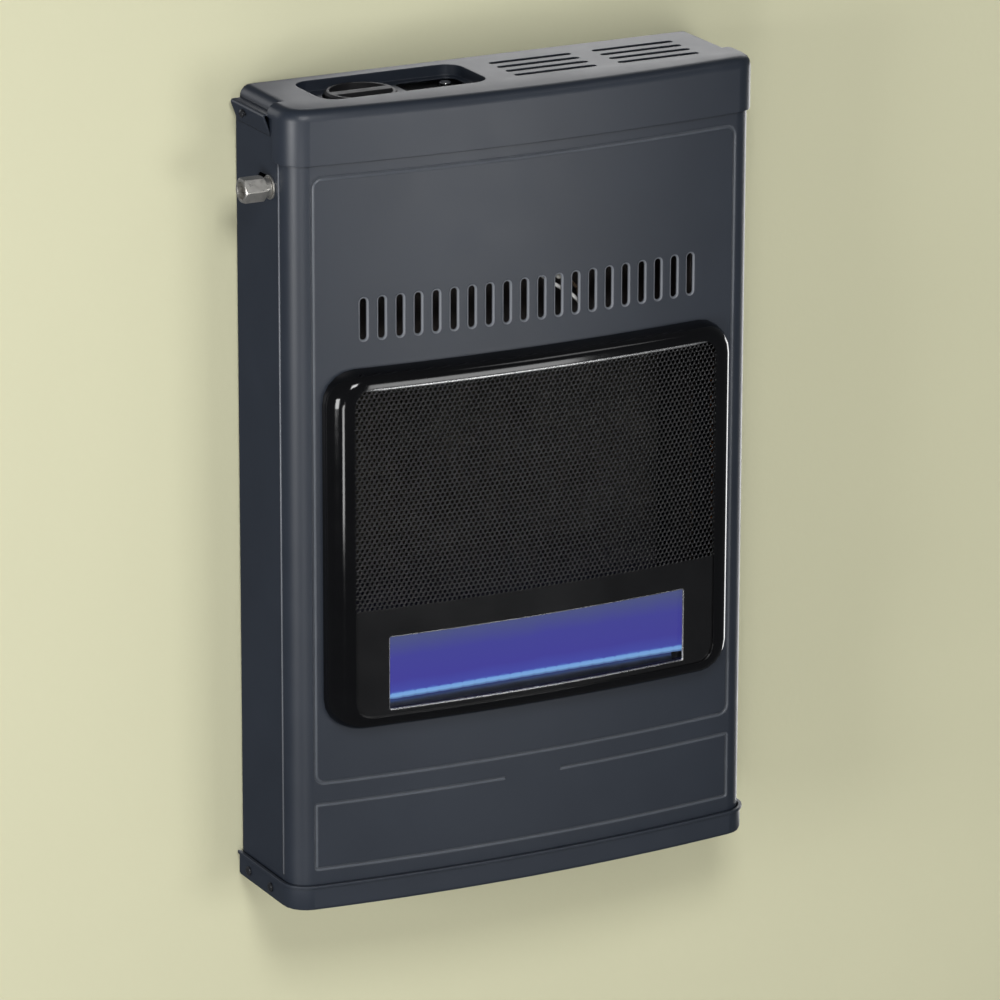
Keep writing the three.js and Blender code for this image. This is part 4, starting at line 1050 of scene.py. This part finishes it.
# %% Wall and floor
def stage_plane(name, corners, colour, see_through):
    """A large plain surface of the studio."""
    mesh = bpy.data.meshes.new(name)
    mesh.from_pydata([Vector(c) for c in corners], [], [(0, 1, 2, 3)])
    material, tree, output = new_tree(name)
    where = node(tree, "TexCoord").outputs["Object"]
    shader = node(tree, "BsdfPrincipled", Roughness=0.8)
    shader.inputs["Specular IOR Level"].default_value = 0.2
    tone = spread(tree, noise(tree, where, 2.5, 3.0), 0.0, 1.0)
    drifted = blend_colour(tree, tone, colour, tuple(0.97 * c for c in colour))
    tree.links.new(drifted, shader.inputs["Base Color"])
    relief = node(tree, "Bump", Strength=0.2, Distance=0.0006)
    tree.links.new(noise(tree, where, 160.0, 3.0), relief.inputs["Height"])
    tree.links.new(relief.outputs["Normal"], shader.inputs["Normal"])
    surface = shader.outputs[0]
    if see_through:
        side = node(tree, "NewGeometry")
        clear = node(tree, "BsdfTransparent")
        both = node(tree, "MixShader")
        tree.links.new(side.outputs["Backfacing"], both.inputs[0])
        tree.links.new(shader.outputs[0], both.inputs[1])
        tree.links.new(clear.outputs[0], both.inputs[2])
        surface = both.outputs[0]
    tree.links.new(surface, output.inputs["Surface"])
    mesh.materials.append(material)
    made = bpy.data.objects.new(name, mesh)
    bpy.context.scene.collection.objects.link(made)
    return made


WALL_GAP = 0.0015
FLOOR_Z, FLOOR_HALF = -1.0, 4.0
WALL_HALF, WALL_TOP = 1.3, 1.6
wall = stage_plane("wall", [(-WALL_HALF, WALL_GAP, FLOOR_Z), (WALL_HALF, WALL_GAP, FLOOR_Z),
                            (WALL_HALF, WALL_GAP, WALL_TOP), (-WALL_HALF, WALL_GAP, WALL_TOP)],
                   (0.60, 0.59, 0.41), True)
wall.visible_shadow = wall.visible_glossy = wall.visible_diffuse = False
floor = stage_plane("floor", [(-FLOOR_HALF, -FLOOR_HALF, FLOOR_Z), (FLOOR_HALF, -FLOOR_HALF, FLOOR_Z),
                              (FLOOR_HALF, FLOOR_HALF, FLOOR_Z), (-FLOOR_HALF, FLOOR_HALF, FLOOR_Z)],
                    (0.62, 0.60, 0.56), False)
floor.visible_glossy = False
print("wall", WALL_GAP, "m behind the case, floor at", FLOOR_Z)

# %% [markdown]
# ## Light
# Each soft box has one task. The key lamp stands high in front on the left. The front sheen lies
# level with the case and greys the bowed front, and the corner lamp, far to the left, draws the
# upright highlight down the front corner. The line lamp lights the lower flanks of the pressed
# lines, and the lip lamp catches the window's lip and the rib. The rim lamp edges the right side,
# the sheen lamp behind gives the top its pale sheen, and the rear lamp is there for the views of
# the back. A dim plain world fills the rest, because a bright one would show in the enamel.

# %% Lamps
LAMPS = (  # name, place, aim, size of the box in metres, watts
    ("key_lamp", (-0.9, -2.6, 2.0), (0, 0, 0.05), 0.9, 50.0),
    ("front_sheen", (0.7, -2.1, -0.06), (0, 0, 0.1), 0.8, 12.5),
    ("corner_lamp", (-2.45, -1.05, 0.08), (0, -0.05, 0), 0.9, 38.0),
    ("line_lamp", (-1.25, -2.25, -0.45), (0, 0, 0), 0.5, 8.0),
    ("lip_lamp", (1.1, -1.3, 1.75), (0, 0, 0), 0.5, 2.0),
    ("rim_lamp", (1.6, 0.9, -0.45), (0, 0, 0), 1.0, 12.0),
    ("sheen_lamp", (2.0, 2.6, 1.4), (0, 0, 0.25), 1.8, 24.0),
    ("rear_lamp", (-1.4, 2.4, 0.9), (0, 0, 0), 1.2, 8.0),
)


def soft_lamp(name, place, aim, size, watts):
    """A square soft box that points at the heater."""
    data = bpy.data.lights.new(name, "AREA")
    data.shape = "SQUARE"
    data.size = size
    data.energy = watts
    lamp = bpy.data.objects.new(name, data)
    lamp.location = place
    lamp.rotation_mode = "QUATERNION"
    lamp.rotation_quaternion = (Vector(aim) - Vector(place)).to_track_quat("-Z", "Y")
    bpy.context.scene.collection.objects.link(lamp)
    return lamp


for row in LAMPS:
    soft_lamp(*row)
print("lamps:", len(LAMPS))

# %% World
world = bpy.data.worlds.new("studio")
bpy.context.scene.world = world
world.use_nodes = True
world.node_tree.nodes.clear()
tree = world.node_tree
room = node(tree, "Background", Strength=0.09)
room.inputs["Color"].default_value = (0.90, 0.95, 1.0, 1.0)
sky = node(tree, "OutputWorld")
tree.links.new(room.outputs[0], sky.inputs["Surface"])
bpy.context.scene.view_settings.view_transform = "Standard"
print("view transform:", bpy.context.scene.view_settings.view_transform)
